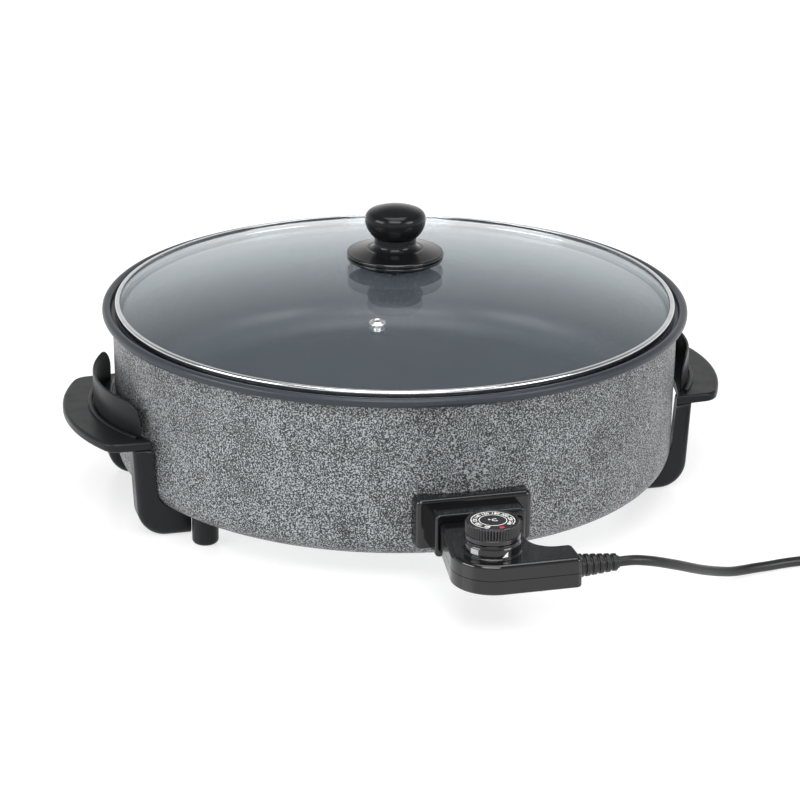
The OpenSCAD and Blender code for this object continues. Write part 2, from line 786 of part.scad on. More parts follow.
module lid_glass() {
    color("lightsteelblue", 0.4) on_pan() difference() {
        rotate_extrude($fn = 180) intersection() {
            difference() {
                translate([0, glass_top - glass_ball_r]) circle(r = glass_ball_r, $fn = 360);
                translate([0, glass_top - glass_t - glass_ball_r]) circle(r = glass_ball_r, $fn = 360);
            }
            translate([knob_screw_d / 2 + plug_gap, glass_z - glass_t])
                square([glass_edge_r - knob_screw_d / 2 - plug_gap, 2 * glass_t + glass_rise]);
        }
        on_vent() cylinder(r = vent_barrel_r + fit_gap, h = 4 * glass_t, center = true, $fn = 48);
    }
}

// Place of the steam vent: square to the glass, z = 0 on its upper face
module on_vent() {
    translate([0, 0, glass_top - glass_ball_r]) rotate([0, 0, vent_angle]) rotate([0, vent_tilt, 0])
        translate([0, 0, glass_ball_r]) children();
}

module lid_band() {
    color("silver") on_pan() rotate_extrude($fn = 180) difference() {
        round_rect([band_lip_r, band_z], [band_r, band_top], 1.2);
        translate([0, band_z + band_t]) square([band_r - band_t, band_top - band_z - 2 * band_t]);
        translate([band_lip_r - eps, band_z - eps]) square([0.8 + eps, band_top - band_z + 2 * eps]);
    }
}

module vent_eyelet() {
    color("silver") on_pan() on_vent() rotate_extrude($fn = 64) difference() {
        union() {
            translate([0, -glass_t - 0.8]) square([vent_barrel_r, glass_t + 1.2]);
            intersection() {
                translate([0, 2.0 - vent_d]) circle(r = vent_d);
                translate([0, fit_gap]) square([vent_d / 2, 3]);
            }
            translate([0, -glass_t - 1]) square([vent_d / 2 - 0.6, 0.9]);
        }
        translate([-eps, -2 * glass_t]) square([vent_hole_d / 2 + eps, 4 * glass_t]);
    }
}

module knob_guard() {
    ring_step = 1.5;
    edge = knob_base_d / 2;
    neck = knob_neck_d / 2;
    color("#151516") on_pan() translate([0, 0, guard_disc_z]) rotate_extrude($fn = 96) difference() {
        union() {
            polygon([
                [0, knob_z - guard_disc_z], [neck, knob_z - guard_disc_z], [neck + 1, 0],
                [edge - ring_step, 0], [edge - ring_step, knob_base_t],
                [neck + 1, guard_disc_top - guard_disc_z], [0, guard_disc_top - guard_disc_z]
            ]);
            round_rect([neck, 0], [edge - ring_step / 3, 0.45 * knob_base_t], 0.8);
            round_rect([neck, 0.55 * knob_base_t], [edge, knob_base_t], 0.8);
        }
        translate([-eps, knob_z - guard_disc_z - eps])
            square([knob_screw_d / 2 + fit_gap + eps, guard_disc_top - knob_z + 2 * eps]);
    }
}

module lid_knob() {
    neck = knob_neck_d / 2;
    edge = knob_d / 2;
    wide_z = knob_h - knob_dome_h;
    bowl = wide_z - knob_neck_h;
    bowl_x = (pow(edge, 2) - pow(neck, 2) - pow(bowl, 2)) / (2 * (edge - neck));
    color("#151516") on_pan() translate([0, 0, guard_disc_top]) difference() {
        rotate_extrude($fn = 96) {
            intersection() {
                translate([bowl_x, wide_z]) circle(r = edge - bowl_x, $fn = 180);
                translate([0, knob_h - knob_dome_r]) circle(r = knob_dome_r, $fn = 180);
                translate([0, knob_neck_h]) square([knob_d, knob_h]);
            }
            square([neck, knob_neck_h + blend_step]);
        }
        translate([0, 0, -eps]) cylinder(d = knob_screw_d + 2 * fit_gap, h = 0.6 * knob_h + eps, $fn = 32);
    }
}

module knob_screw() {
    color("silver") on_pan() translate([0, 0, washer_z])
        screw(knob_screw_d, guard_disc_top - washer_z + 0.55 * knob_h);
}

module knob_washer() {
    color("gray") on_pan() translate([0, 0, washer_z]) difference() {
        cylinder(d = washer_d, h = washer_t, $fn = 64);
        translate([0, 0, -eps]) cylinder(d = knob_screw_d + 2 * fit_gap, h = washer_t + 2 * eps, $fn = 32);
    }
}

// Section of a casing half: a block whose upper corners are round
module crowned(low, high, h, edge) {
    translate([low, 0]) square([high - low, h - edge]);
    translate([low + edge, 0]) square([high - low - 2 * edge, h]);
    for (x = [low + edge, high - edge]) translate([x, h - edge]) circle(r = edge, $fn = 32);
}

// One casing half standing on its seam: round head, neck, arm for the lead and the crook between
module casing_half(h, inset, edge) {
    side = neck_w / 2 - inset;
    throat = throat_x - inset;
    head = head_r - inset;
    crook = crook_r + inset;
    along_y(throat_y + inset, neck_y - inset) crowned(-side, side, h, edge);
    hull() {
        along_y(throat_y - 3, throat_y + inset + 1) crowned(-side, throat, h, edge);
        translate([dial_shift, dial_y, 0]) rotate_extrude($fn = 64) intersection() {
            crowned(-head, head, h, edge);
            square([head, h]);
        }
    }
    along_x(dial_shift, arm_reach - inset)
        crowned(front_y + inset, arm_back_y - inset, h, edge);
    difference() {
        translate([dial_shift, arm_back_y - inset - edge - 2, 0])
            cube([crook_x - dial_shift, crook_y - arm_back_y + inset + edge + 2, h]);
        translate([crook_x, crook_y, -eps]) rotate_extrude($fn = 96) difference() {
            union() {
                square([crook, h + 2 * eps]);
                translate([0, h - edge + eps]) square([crook + edge, edge + eps]);
            }
            translate([crook + edge, h - edge + eps]) circle(r = edge, $fn = 32);
        }
    }
}

// Bores that both casing halves share: pins, probe, lead and screws
module casing_bores() {
    line_bores(neck_y - case_t - eps, neck_y + eps, plug_gap, fit_gap);
    translate([arm_reach - case_t - eps, arm_mid_y, seam_z]) rotate([0, 90, 0])
        cylinder(d = relief_d - 3 + 2 * fit_gap, h = case_t + 2 * eps, $fn = 48);
}

module upper_casing() {
    roof = control_h - seam_h;
    color("#101012") on_pan() difference() {
        union() {
            translate([0, 0, seam_z]) difference() {
                casing_half(roof, 0, case_edge);
                translate([0, 0, -eps]) casing_half(roof - case_t + eps, case_t, case_edge - 1);
            }
            translate([dial_shift, dial_y, case_top - case_t])
                cylinder(d = pedestal_d, h = pedestal_h + case_t, $fn = 96);
            for (spot = case_screw_spots) translate([spot[0], spot[1], seam_z])
                cylinder(r = boss_r, h = roof - case_t / 2, $fn = 32);
        }
        translate([dial_shift, dial_y, seam_z])
            cylinder(d = pedestal_d - 2 * pedestal_t, h = pedestal_z - pedestal_t - seam_z, $fn = 96);
        translate([dial_shift, dial_y, pedestal_z - 2 * pedestal_t])
            cylinder(r = bush_r + fit_gap, h = 3 * pedestal_t, $fn = 48);
        in_window() cube([2 * pedestal_t, 6 + 2 * fit_gap, 3.5 + 2 * fit_gap], center = true);
        for (spot = case_screw_spots) translate([spot[0], spot[1], seam_z - eps])
            cylinder(d = small_screw_d + 2 * fit_gap, h = roof - case_t, $fn = 32);
        casing_bores();
    }
}

// Place of the pilot window in the pedestal's wall
module in_window() {
    translate([dial_shift, dial_y, case_top + pedestal_h / 2]) rotate([0, 0, window_angle])
        translate([pedestal_d / 2 - pedestal_t / 2, 0, 0]) children();
}

module lower_casing() {
    color("#101012") on_pan() difference() {
        translate([0, 0, seam_z]) mirror([0, 0, 1]) difference() {
            casing_half(seam_h, 0, 1.5);
            translate([0, 0, -eps]) casing_half(seam_h - case_t + eps, case_t, 0.5);
        }
        for (spot = case_screw_spots) translate([spot[0], spot[1], control_z - eps]) {
            cylinder(d = small_screw_d + 2 * fit_gap, h = 2 * case_t, $fn = 32);
        }
        casing_bores();
    }
}

module casing_screws() {
    color("silver") on_pan() for (spot = case_screw_spots) translate([spot[0], spot[1], control_z])
        screw(small_screw_d, control_h - 2 * case_t - 1);
}

module probe_tube() {
    color("silver") on_pan() translate([0, neck_y - case_t - 6, line_z]) rotate([-90, 0, 0])
        rotate_extrude($fn = 48) {
            square([probe_r, probe_len + case_t + 6 - probe_r]);
            intersection() {
                translate([0, probe_len + case_t + 6 - probe_r]) circle(r = probe_r);
                square([probe_r, 2 * probe_len]);
            }
        }
}

module probe_collar() {
    color("gold") on_pan() translate([0, neck_y - case_t - 5, line_z]) rotate([-90, 0, 0]) difference() {
        cylinder(r = probe_r + 2, h = 5, $fn = 48);
        translate([0, 0, -eps]) cylinder(r = probe_r + fit_gap, h = 5 + 2 * eps, $fn = 48);
    }
}

module contact_sockets() {
    end_wall = 1.5;
    color("peru") on_pan() for (s = [-1, 1])
        translate([s * pin_x, neck_y - case_t, line_z]) rotate([90, 0, 0]) difference() {
            cylinder(r = pin_r + 1.6, h = pin_free + end_wall, $fn = 32);
            translate([0, 0, -eps]) cylinder(r = pin_r + plug_gap / 2, h = pin_free + eps, $fn = 32);
        }
}

module thermostat_base() {
    color("linen") on_pan() difference() {
        translate([dial_shift - thermo_w / 2, blade_end_y, thermo_z])
            cube([thermo_w, blade_root_y - blade_end_y, thermo_h]);
        translate([dial_shift, thermo_y - 6, thermo_z + thermo_h]) cube([10, 14, 4], center = true);
    }
}

// Blade over the thermostat's base, on a foot at its rear end
module blade(level, width) {
    translate([dial_shift - width / 2, blade_end_y, blade_z[level] + (level == 0 ? 1.5 : 0)])
        cube([width, blade_root_y - blade_end_y, blade_t]);
    foot_z = level == 0 ? blade_z[0] : blade_z[0] + 1.5 + blade_t;
    foot_top = level == 0 ? blade_z[0] + 1.5 : blade_z[1];
    translate([dial_shift - width / 2, blade_root_y - 6, foot_z])
        cube([width, 6, foot_top - foot_z]);
}

module bimetal_blade() {
    color("goldenrod") on_pan() blade(1, 9);
}

module switch_blade() {
    color("peru") on_pan() blade(0, 7);
}

module contact_points() {
    gap = blade_z[1] - blade_z[0] - 1.5 - blade_t;
    color("silver") on_pan() translate([dial_shift, blade_end_y + 4, 0]) {
        translate([0, 0, blade_z[0] + 1.5 + blade_t]) cylinder(d = 4, h = gap / 2 - 0.1, $fn = 32);
        translate([0, 0, blade_z[1] - gap / 2 + 0.1]) cylinder(d = 4, h = gap / 2 - 0.1, $fn = 32);
    }
}

module shaft_bush() {
    color("gold") on_pan() translate([dial_shift, dial_y, pedestal_z - pedestal_t - 5]) difference() {
        union() {
            cylinder(r = bush_r, h = pedestal_t + 5, $fn = 48);
            cylinder(r = bush_r + 2, h = 5, $fn = 6);
        }
        translate([0, 0, -eps]) cylinder(d = shaft_d + 2 * run_gap, h = 20, $fn = 48);
    }
}

module pilot_lamp() {
    color("orange") on_pan() translate([dial_shift, dial_y, case_top - 4]) rotate([0, 0, window_angle])
        translate([pedestal_d / 2 - pedestal_t - 1 - lamp_r, 0, 0]) rotate_extrude($fn = 32) {
            square([lamp_r, 8]);
            intersection() {
                translate([0, 8]) circle(r = lamp_r);
                square([lamp_r, 20]);
            }
        }
}

module pilot_window() {
    color("tomato") on_pan() in_window() cube([pedestal_t + 0.3, 6, 3.5], center = true);
}

module cord_clamp() {
    bar = 6;
    color("gainsboro") on_pan()
        translate([arm_reach - case_t - 14, arm_mid_y - 8, control_z + case_t])
            cube([bar, 16, seam_h - case_t - cord_r]);
}

module strain_relief() {
    step = relief_len / relief_ribs;
    root = relief_d / 2;
    tip = relief_tip_d / 2;
    groove = 1.6;
    color("#141416") on_pan() translate([arm_reach, arm_mid_y, seam_z]) rotate([0, 90, 0])
        rotate_extrude($fn = 48) {
            polygon([[0, 0], [root - groove, 0], [tip - groove, relief_len], [0, relief_len]]);
            for (i = [0 : relief_ribs - 1]) translate([0, i * step]) {
                outer = root + (tip - root) * i / relief_ribs;
                polygon([
                    [0, 0], [outer, 0], [outer, 0.62 * step], [outer - groove, 0.72 * step],
                    [0, 0.72 * step]
                ]);
            }
            translate([0, -case_t]) square([root - groove - 0.5, case_t]);
            translate([0, -case_t - 3]) square([root - 0.5, 3]);
        }
}

// Sweep of a round tube along a list of points, closed at both ends
function unit(v) = v / norm(v);
function heading(p, i) =
    unit(p[min(i + 1, len(p) - 1)] - p[max(i - 1, 0)]);
function ring(at, along, r, sides) =
    let (side = unit(cross(along, [0, 0, 1])), up = cross(side, along))
    [for (k = [0 : sides - 1]) at + r * (cos(360 * k / sides) * side + sin(360 * k / sides) * up)];

module tube(points, r, sides) {
    n = len(points);
    rings = [for (i = [0 : n - 1]) each ring(points[i], heading(points, i), r, sides)];
    walls = [for (i = [0 : n - 2], k = [0 : sides - 1]) let (
        a = i * sides + k, b = i * sides + (k + 1) % sides, c = b + sides, d = a + sides
    ) each [[a, d, b], [b, d, c]]];
    first = [for (k = [1 : sides - 2]) [0, k, k + 1]];
    last = [for (k = [1 : sides - 2]) [(n - 1) * sides, (n - 1) * sides + k + 1, (n - 1) * sides + k]];
    polyhedron(rings, concat(walls, first, last));
}

lead_points = [
    for (p = concat([[0, 0, 0]], lead_route))
    [relief_end_x + p[0], arm_mid_y + p[1], seam_z - p[2] * (seam_z - cord_r)]
];

// Coil at t turns from its outer end: spiral in, a climbing half turn, spiral out
function coil_radius(t) =
    t < coil_turns ? coil_out_r - t * coil_pitch
    : t < coil_turns + 0.5 ? coil_in_r - coil_pitch * (0.25 - abs(t - coil_turns - 0.25))
    : coil_in_r + (t - coil_turns - 0.5) * coil_pitch;
function coil_level(t) = coil_z + coil_pitch * min(1, max(0, 2 * (t - coil_turns)));
function coil_at(t) = [
    coil_x + coil_radius(t) * sin(360 * t), coil_y - coil_radius(t) * cos(360 * t), coil_level(t)
];
coil_steps = round(coil_rings * coil_end_turn);
coil_wound = [for (i = [0 : coil_steps]) coil_at(coil_end_turn * i / coil_steps)];
coil_points = concat(
    [[coil_x - cord_d, coil_y - coil_out_r, coil_z]], coil_wound,
    [coil_wound[coil_steps] + [0, cord_d, 0]]
);

// Least gap between turns: distance of points over a third of a turn apart, less the lead's diameter
coil_gap = min([
    for (i = [0 : coil_steps], j = [i + 8 : 1 : coil_steps]) norm(coil_wound[i] - coil_wound[j])
]) - cord_d;
echo(coil_gap = coil_gap);

// Short tail from the coil's upper layer to the plug
tail_points = [
    for (i = [0 : 6]) let (u = i / 6, lift = (1 - cos(180 * u)) / 2)
    [plug_x, coil_y + cord_d + tail_len * u,
        coil_z + coil_pitch + (plug_z - coil_z - coil_pitch) * lift]
];

function path_length(p) = [for (i = [1 : len(p) - 1]) norm(p[i] - p[i - 1])];
function total(v, i = 0) = i < len(v) ? v[i] + total(v, i + 1) : 0;
echo(lead = total(path_length(lead_points)), coil = total(path_length(coil_points)),
    tail = total(path_length(tail_points)));

module cord_lead() {
    color("#161618") on_pan() tube(lead_points, cord_r, 10);
}

module cord_coil() {
    color("#161618") on_pan() tube(coil_points, cord_r, 6);
}

module cord_tail() {
    color("#161618") on_pan() tube(tail_points, cord_r, 10);
}

module cord_tie() {
    low_r = coil_in_r - coil_pitch / 4 - cord_r - 0.4;
    high_r = coil_out_r + cord_r + 0.4;
    low_z = coil_z - cord_r - 0.3;
    high_z = coil_z + coil_pitch + cord_r + 0.4;
    color("#0c0c0e") on_pan() translate([coil_x, coil_y, 0]) rotate([0, 0, 45])
        along_y(-tie_w / 2, tie_w / 2) difference() {
            round_rect([low_r - tie_t, low_z - tie_t], [high_r + tie_t, high_z + tie_t], 2);
            round_rect([low_r, low_z], [high_r, high_z], 1.1);
        }
}

// Plug on its side behind the coil, its face away from the lead
module at_plug() {
    translate([plug_x, tail_end_y, plug_z]) rotate([-90, 0, 0]) children();
}

module plug_body() {
    face = plug_d / 2;
    root = relief_tip_d / 2;
    color("#141416") on_pan() at_plug() difference() {
        rotate_extrude($fn = 64) {
            polygon([[0, 0], [root, 0], [root + 1.5, 0.4 * plug_len], [face - 4, 0.55 * plug_len],
                [face - 1.5, 0.68 * plug_len], [0, 0.68 * plug_len]]);
            round_rect([0, 0.62 * plug_len], [face, plug_len], 2);
            square([face - 4, plug_len]);
        }
        for (s = [-1, 1]) translate([s * face, 0, plug_len]) cube([5, 8, 0.7 * plug_len], center = true);
        for (s = [-1, 1]) translate([0, s * plug_pitch / 2, plug_len - 8])
            cylinder(d = plug_pin_d + 2 * fit_gap, h = 8 + eps, $fn = 32);
    }
}

module plug_pins() {
    color("silver") on_pan() at_plug() for (s = [-1, 1]) translate([0, s * plug_pitch / 2, plug_len - 8])
        rotate_extrude($fn = 32) {
            square([plug_pin_d / 2, plug_pin_len + 8 - plug_pin_d / 2]);
            intersection() {
                translate([0, plug_pin_len + 8 - plug_pin_d / 2]) circle(d = plug_pin_d);
                square([plug_pin_d / 2, 2 * plug_pin_len]);
            }
        }
}

module dial_knob() {
    flute_r = 0.3 * 3.1416 * dial_d / dial_flutes;
    skirt = dial_d / 2;
    color("#18181a") on_pan() translate([dial_shift, dial_y, dial_z]) difference() {
        union() {
            cylinder(r = skirt, h = dial_collar_h, $fn = 96);
            linear_extrude(dial_h - 1.2) difference() {
                circle(r = skirt, $fn = 96);
                for (i = [0 : dial_flutes - 1]) rotate([0, 0, 360 * i / dial_flutes])
                    translate([skirt + flute_r - flute_depth, 0]) circle(r = flute_r, $fn = 24);
            }
            cylinder(r = skirt - flute_depth - 0.3, h = dial_h, $fn = 96);
        }
        translate([0, 0, dial_h - scale_t]) cylinder(d = scale_d + 2 * fit_gap, h = scale_t + eps, $fn = 96);
        translate([0, 0, -eps]) cylinder(d = shaft_d + 2 * fit_gap, h = dial_h - 3 + eps, $fn = 48);
        translate([0, 0, -eps]) difference() {
            cylinder(r = skirt - 2.5, h = dial_h / 2 + eps, $fn = 96);
            cylinder(d = shaft_d + 5, h = dial_h, $fn = 48);
        }
    }
}

module dial_scale() {
    color("#2a2a2c") on_pan() translate([dial_shift, dial_y, dial_top - scale_t])
        cylinder(d = scale_d, h = scale_t, $fn = 96);
}

module dial_shaft() {
    color("silver") on_pan() translate([dial_shift, dial_y, shaft_foot_z])
        cylinder(d = shaft_d, h = dial_top - 3 - shaft_foot_z, $fn = 48);
}

inner_pan();
outer_shell();
base_cover();
base_screws();
heating_element();
terminal_pins();
terminal_block();
earth_strip();
probe_guide();
socket_housing();
socket_screws();
left_handle();
right_handle();
handle_screws();
foot_posts();
foot_screws();
lid_glass();
lid_band();
vent_eyelet();
knob_guard();
lid_knob();
knob_screw();
knob_washer();
upper_casing();
lower_casing();
casing_screws();
probe_tube();
probe_collar();
contact_sockets();
thermostat_base();
bimetal_blade();
switch_blade();
contact_points();
shaft_bush();
pilot_lamp();
pilot_window();
cord_clamp();
strain_relief();
cord_lead();
cord_coil();
cord_tail();
cord_tie();
plug_body();
plug_pins();
dial_knob();
dial_scale();
dial_shaft();
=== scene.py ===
"""Looks of an electric paella pan: its mouldings, coatings, glass lid, control and lead.

Sizes are in millimetres about the pan's own axis, with the table at z = 0 and the control at
the front (-Y). A piece goes into the shared frame, in metres, when it is finished.
"""

from __future__ import annotations

import json
import logging
import math
from dataclasses import dataclass
from enum import Enum, IntEnum
from typing import Any, Callable, Optional, Sequence, Union

import bmesh
import bpy
from mathutils import Matrix, Vector

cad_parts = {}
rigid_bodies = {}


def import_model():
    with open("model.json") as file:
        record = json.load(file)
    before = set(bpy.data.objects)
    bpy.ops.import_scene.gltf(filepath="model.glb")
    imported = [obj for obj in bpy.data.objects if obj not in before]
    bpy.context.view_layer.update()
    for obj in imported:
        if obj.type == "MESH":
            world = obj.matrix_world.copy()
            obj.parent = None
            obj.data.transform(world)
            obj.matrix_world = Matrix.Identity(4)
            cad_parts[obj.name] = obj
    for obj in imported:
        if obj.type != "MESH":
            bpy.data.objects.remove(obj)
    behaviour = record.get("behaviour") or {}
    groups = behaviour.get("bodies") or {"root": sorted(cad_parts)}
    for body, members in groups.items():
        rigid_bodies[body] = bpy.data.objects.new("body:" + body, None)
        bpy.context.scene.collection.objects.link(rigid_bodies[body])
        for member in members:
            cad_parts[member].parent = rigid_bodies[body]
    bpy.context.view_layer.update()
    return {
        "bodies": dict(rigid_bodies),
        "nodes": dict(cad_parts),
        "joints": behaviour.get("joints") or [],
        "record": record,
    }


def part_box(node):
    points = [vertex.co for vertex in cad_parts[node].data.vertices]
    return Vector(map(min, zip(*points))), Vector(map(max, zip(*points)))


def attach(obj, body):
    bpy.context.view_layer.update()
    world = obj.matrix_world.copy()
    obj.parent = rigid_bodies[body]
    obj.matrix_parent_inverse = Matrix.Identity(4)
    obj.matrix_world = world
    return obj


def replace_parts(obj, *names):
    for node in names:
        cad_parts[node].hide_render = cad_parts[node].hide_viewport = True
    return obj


LOG = logging.getLogger("paella_pan")
MM = 0.001  # metres in a millimetre
WELD = 1e-4  # millimetres within which vertices are one
NEAR = 0.1  # millimetres within which an edge lies on a plane

Colour = tuple[float, float, float]
Point = tuple[float, float]
Place = tuple[float, float, float]
# A place on an outline, with the radius of its corner where it is rounded.
Corner = tuple[float, ...]
EdgeTest = Callable[[Vector], bool]


class Body(Enum):
    """The bodies that move against each other."""

    PAN = "pan"
    LID = "lid"
    CONTROL = "control"
    DIAL = "dial"


class Steps(IntEnum):
    """Faces round a turned piece."""

    PAN = 240
    KNOB = 128
    CUP = 96
    SMALL = 64
    BORE = 32


class Wire:
    """An output of a shader graph, with arithmetic that adds Math nodes."""

    def __init__(self, graph: ShaderGraph, socket: bpy.types.NodeSocket) -> None:
        """Keeps the graph and the socket."""
        self.graph = graph
        self.socket = socket

    def math(self, operation: str, first: Number, second: Number) -> Wire:
        """Adds a Math node on two values."""
        return self.graph.node("Math", {0: first, 1: second}, operation=operation)

    def __add__(self, other: Number) -> Wire:
        """Sum."""
        return self.math("ADD", self, other)

    def __radd__(self, other: Number) -> Wire:
        """Sum with a number on the left."""
        return self.math("ADD", other, self)

    def __sub__(self, other: Number) -> Wire:
        """Difference."""
        return self.math("SUBTRACT", self, other)

    def __rsub__(self, other: Number) -> Wire:
        """Difference from a number on the left."""
        return self.math("SUBTRACT", other, self)

    def __mul__(self, other: Number) -> Wire:
        """Product."""
        return self.math("MULTIPLY", self, other)

    def __rmul__(self, other: Number) -> Wire:
        """Product with a number on the left."""
        return self.math("MULTIPLY", other, self)

    def __pow__(self, power: float) -> Wire:
        """Power."""
        return self.math("POWER", self, power)


Number = Union[Wire, float]
Input = Union[Wire, float, Sequence[float]]
Inputs = dict[Union[str, int], Input]


class ShaderGraph:
    """The node tree of a material or of the room."""

    def __init__(self, owner: Union[bpy.types.Material, bpy.types.World]) -> None:
        """Starts an empty tree.

        Args:
            owner: The material or world that the tree belongs to.
        """
        owner.use_nodes = True
        self.owner = owner
        self.tree = owner.node_tree
        self.tree.nodes.clear()

    def node(
        self, kind: str, inputs: Optional[Inputs] = None, output: Union[str, int] = 0, **settings: Any
    ) -> Optional[Wire]:
        """Adds a node.

        Args:
            kind: Blender's type name of the node without its prefix.
            inputs: Values or wires for its sockets, by name or number.
            output: The output that is handed on.
            settings: Properties that are set first; "stops" fills a colour ramp.

        Returns:
            The chosen output, or nothing where the node ends the graph.
        """
        made = self.tree.nodes.new("ShaderNode" + kind)
        for key, value in settings.items():
            if key == "stops":
                self.fill_ramp(made.color_ramp, value)
            else:
                setattr(made, key, value)
        for key, value in (inputs or {}).items():
            socket = made.inputs[key]
            if isinstance(value, Wire):
                self.tree.links.new(value.socket, socket)
            else:
                socket.default_value = (*value, 1.0) if socket.type == "RGBA" else value
        return Wire(self, made.outputs[output]) if made.outputs else None

    @staticmethod
    def fill_ramp(ramp: bpy.types.ColorRamp, stops: Sequence[tuple[float, Colour]]) -> None:
        """Sets the stops of a colour ramp.

        Args:
            ramp: The ramp.
            stops: Places on it with their colours.
        """
        while len(ramp.elements) < len(stops):
            ramp.elements.new(1.0)
        for element, (place, colour) in zip(ramp.elements, stops):
            element.position = place
            element.color = (*colour, 1.0)

    def noise(self, grain_mm: float, detail: float = 2.0, stretch: Place = (1, 1, 1)) -> Wire:
        """Adds a noise field on the piece's own coordinates.

        Args:
            grain_mm: Size of a grain.
            detail: Octaves above the first.
            stretch: Scale of the pattern along each axis.

        Returns:
            The noise, around 0.5.
        """
        place = self.node("TexCoord", output="Object")
        mapped = self.node("Mapping", {"Vector": place, "Scale": stretch})
        scale = 1 / (grain_mm * MM)
        return self.node("TexNoise", {"Vector": mapped, "Scale": scale, "Detail": detail})

    def ramp(self, value: Wire, stops: Sequence[tuple[float, Colour]]) -> Wire:
        """Turns a value into a colour by a ramp."""
        return self.node("ValToRGB", {"Fac": value}, stops=stops)

    def spread(self, value: Wire, low: float, high: float, to_low: float, to_high: float) -> Wire:
        """Maps a value from one range to another, clamped."""
        ends = {1: low, 2: high, 3: to_low, 4: to_high}
        return self.node("MapRange", {"Value": value, **ends}, clamp=True)

    def gloss(self, field: Wire, smooth: float, rough: float) -> Wire:
        """Spreads the usual range of a noise field over two roughnesses."""
        return self.spread(field, 0.3, 0.7, smooth, rough)

    def blend(self, factor: Wire, first: Input, second: Input) -> Wire:
        """Mixes two colours by a factor."""
        return self.node("Mix", {0: factor, 6: first, 7: second}, 2, data_type="RGBA")

    def bump(self, height: Wire, depth_mm: float) -> Wire:
        """Turns a height field into a normal, by the depth of its full range."""
        return self.node("Bump", {"Height": height, "Distance": depth_mm * MM})

    def surface(self, base: Input, rough: Input, others: Inputs) -> bpy.types.Material:
        """Ends the graph with a surface shader.

        Args:
            base: Its colour.
            rough: Its roughness.
            others: Values or wires of its other sockets.

        Returns:
            The finished material.
        """
        shader = self.node("BsdfPrincipled", {"Base Color": base, "Roughness": rough, **others})
        self.node("OutputMaterial", {"Surface": shader})
        return self.owner


def grey(level: float) -> Colour:
    """A neutral colour."""
    return (level, level, level)


def placed(name: str, data: bpy.types.ID) -> bpy.types.Object:
    """A new object in the scene.

    Args:
        name: Its name.
        data: Its mesh, curve, camera or light.

    Returns:
        The object.
    """
    made = bpy.data.objects.new(name, data)
    bpy.context.scene.collection.objects.link(made)
    return made


@dataclass(frozen=True)
class Finish:
    """A finish with the record's slot that it belongs to."""

    name: str
    slot: str

    def shade(self, graph: ShaderGraph) -> bpy.types.Material:
        """Builds the material's nodes."""
        raise NotImplementedError

    def material(self) -> bpy.types.Material:
        """The finish's material, made at its first use."""
        found = bpy.data.materials.get(self.name)
        return found or self.shade(ShaderGraph(bpy.data.materials.new(self.name)))


@dataclass(frozen=True)
class HammeredPaint(Finish):
    """Two-tone paint that dried into fine light and dark worms."""

    dark: Colour = (0.013, 0.014, 0.016)
    middle: Colour = (0.066, 0.071, 0.075)
    light: Colour = (0.300, 0.317, 0.328)
    stops: Place = (0.45, 0.57, 0.72)
    worm: float = 0.95
    patch: float = 28.0
    patch_share: float = 0.16
    depth: float = 0.12

    def shade(self, graph: ShaderGraph) -> bpy.types.Material:
        """Builds the worms, a slow drift of tone and the raised grain.

        Args:
            graph: The empty graph of the material.

        Returns:
            The finished material.
        """
        worms = graph.noise(self.worm, detail=0.6)
        level = worms + self.patch_share * graph.noise(self.patch)
        colour = graph.ramp(level, list(zip(self.stops, (self.dark, self.middle, self.light))))
        rough = graph.spread(worms, 0.4, 0.6, 0.5, 0.36)
        height = graph.spread(worms, 0.35, 0.65, 0.0, 1.0)
        return graph.surface(colour, rough, {"Metallic": 0.15, "Normal": graph.bump(height, self.depth)})


@dataclass(frozen=True)
class NonStickCoat(Finish):
    """Satin blue-grey coating with a fine metal fleck, and painted shade that darkens it at the rim."""

    deep: Colour = (0.032, 0.041, 0.052)
    pale: Colour = (0.048, 0.060, 0.074)
    # Painted shade: a darker tone of the same coat, blended in from the rim's height up.
    rim: Colour = (0.016, 0.019, 0.025)
    fleck_colour: Colour = (0.220, 0.250, 0.300)
    fleck: float = 0.5
    fleck_range: Point = (0.62, 0.74)
    patch: float = 40.0
    skin: float = 0.9
    depth: float = 0.03
    shine: float = 0.3
    painted_shade_z: float = 124.0
    painted_shade_fade: float = 2.0
    painted_shade_share: float = 0.85

    def shade(self, graph: ShaderGraph) -> bpy.types.Material:
        """Builds the slow tone, the fleck, the painted shade on the rim and the sprayed skin.

        Args:
            graph: The empty graph of the material.

        Returns:
            The finished material.
        """
        drift = graph.noise(self.patch, detail=3.0)
        fleck = graph.spread(graph.noise(self.fleck, detail=1.0), *self.fleck_range, 0.0, 1.0)
        speckled = graph.blend(fleck, graph.blend(drift, self.deep, self.pale), self.fleck_colour)
        # Painted shade: from the rim's height up, the speckled coat is blended towards the darker rim tone,
        # where the rim looks dark in its light.
        place = graph.node("TexCoord", output="Object")
        height = graph.node("SeparateXYZ", {"Vector": place}, "Z")
        low, high = MM * self.painted_shade_z, MM * (self.painted_shade_z + self.painted_shade_fade)
        tone = graph.blend(graph.spread(height, low, high, 0.0, self.painted_shade_share), speckled, self.rim)
        skin = graph.bump(graph.noise(self.skin), self.depth)
        others = {"Specular IOR Level": self.shine, "Normal": skin}
        return graph.surface(tone, graph.gloss(drift, 0.30, 0.38), others)


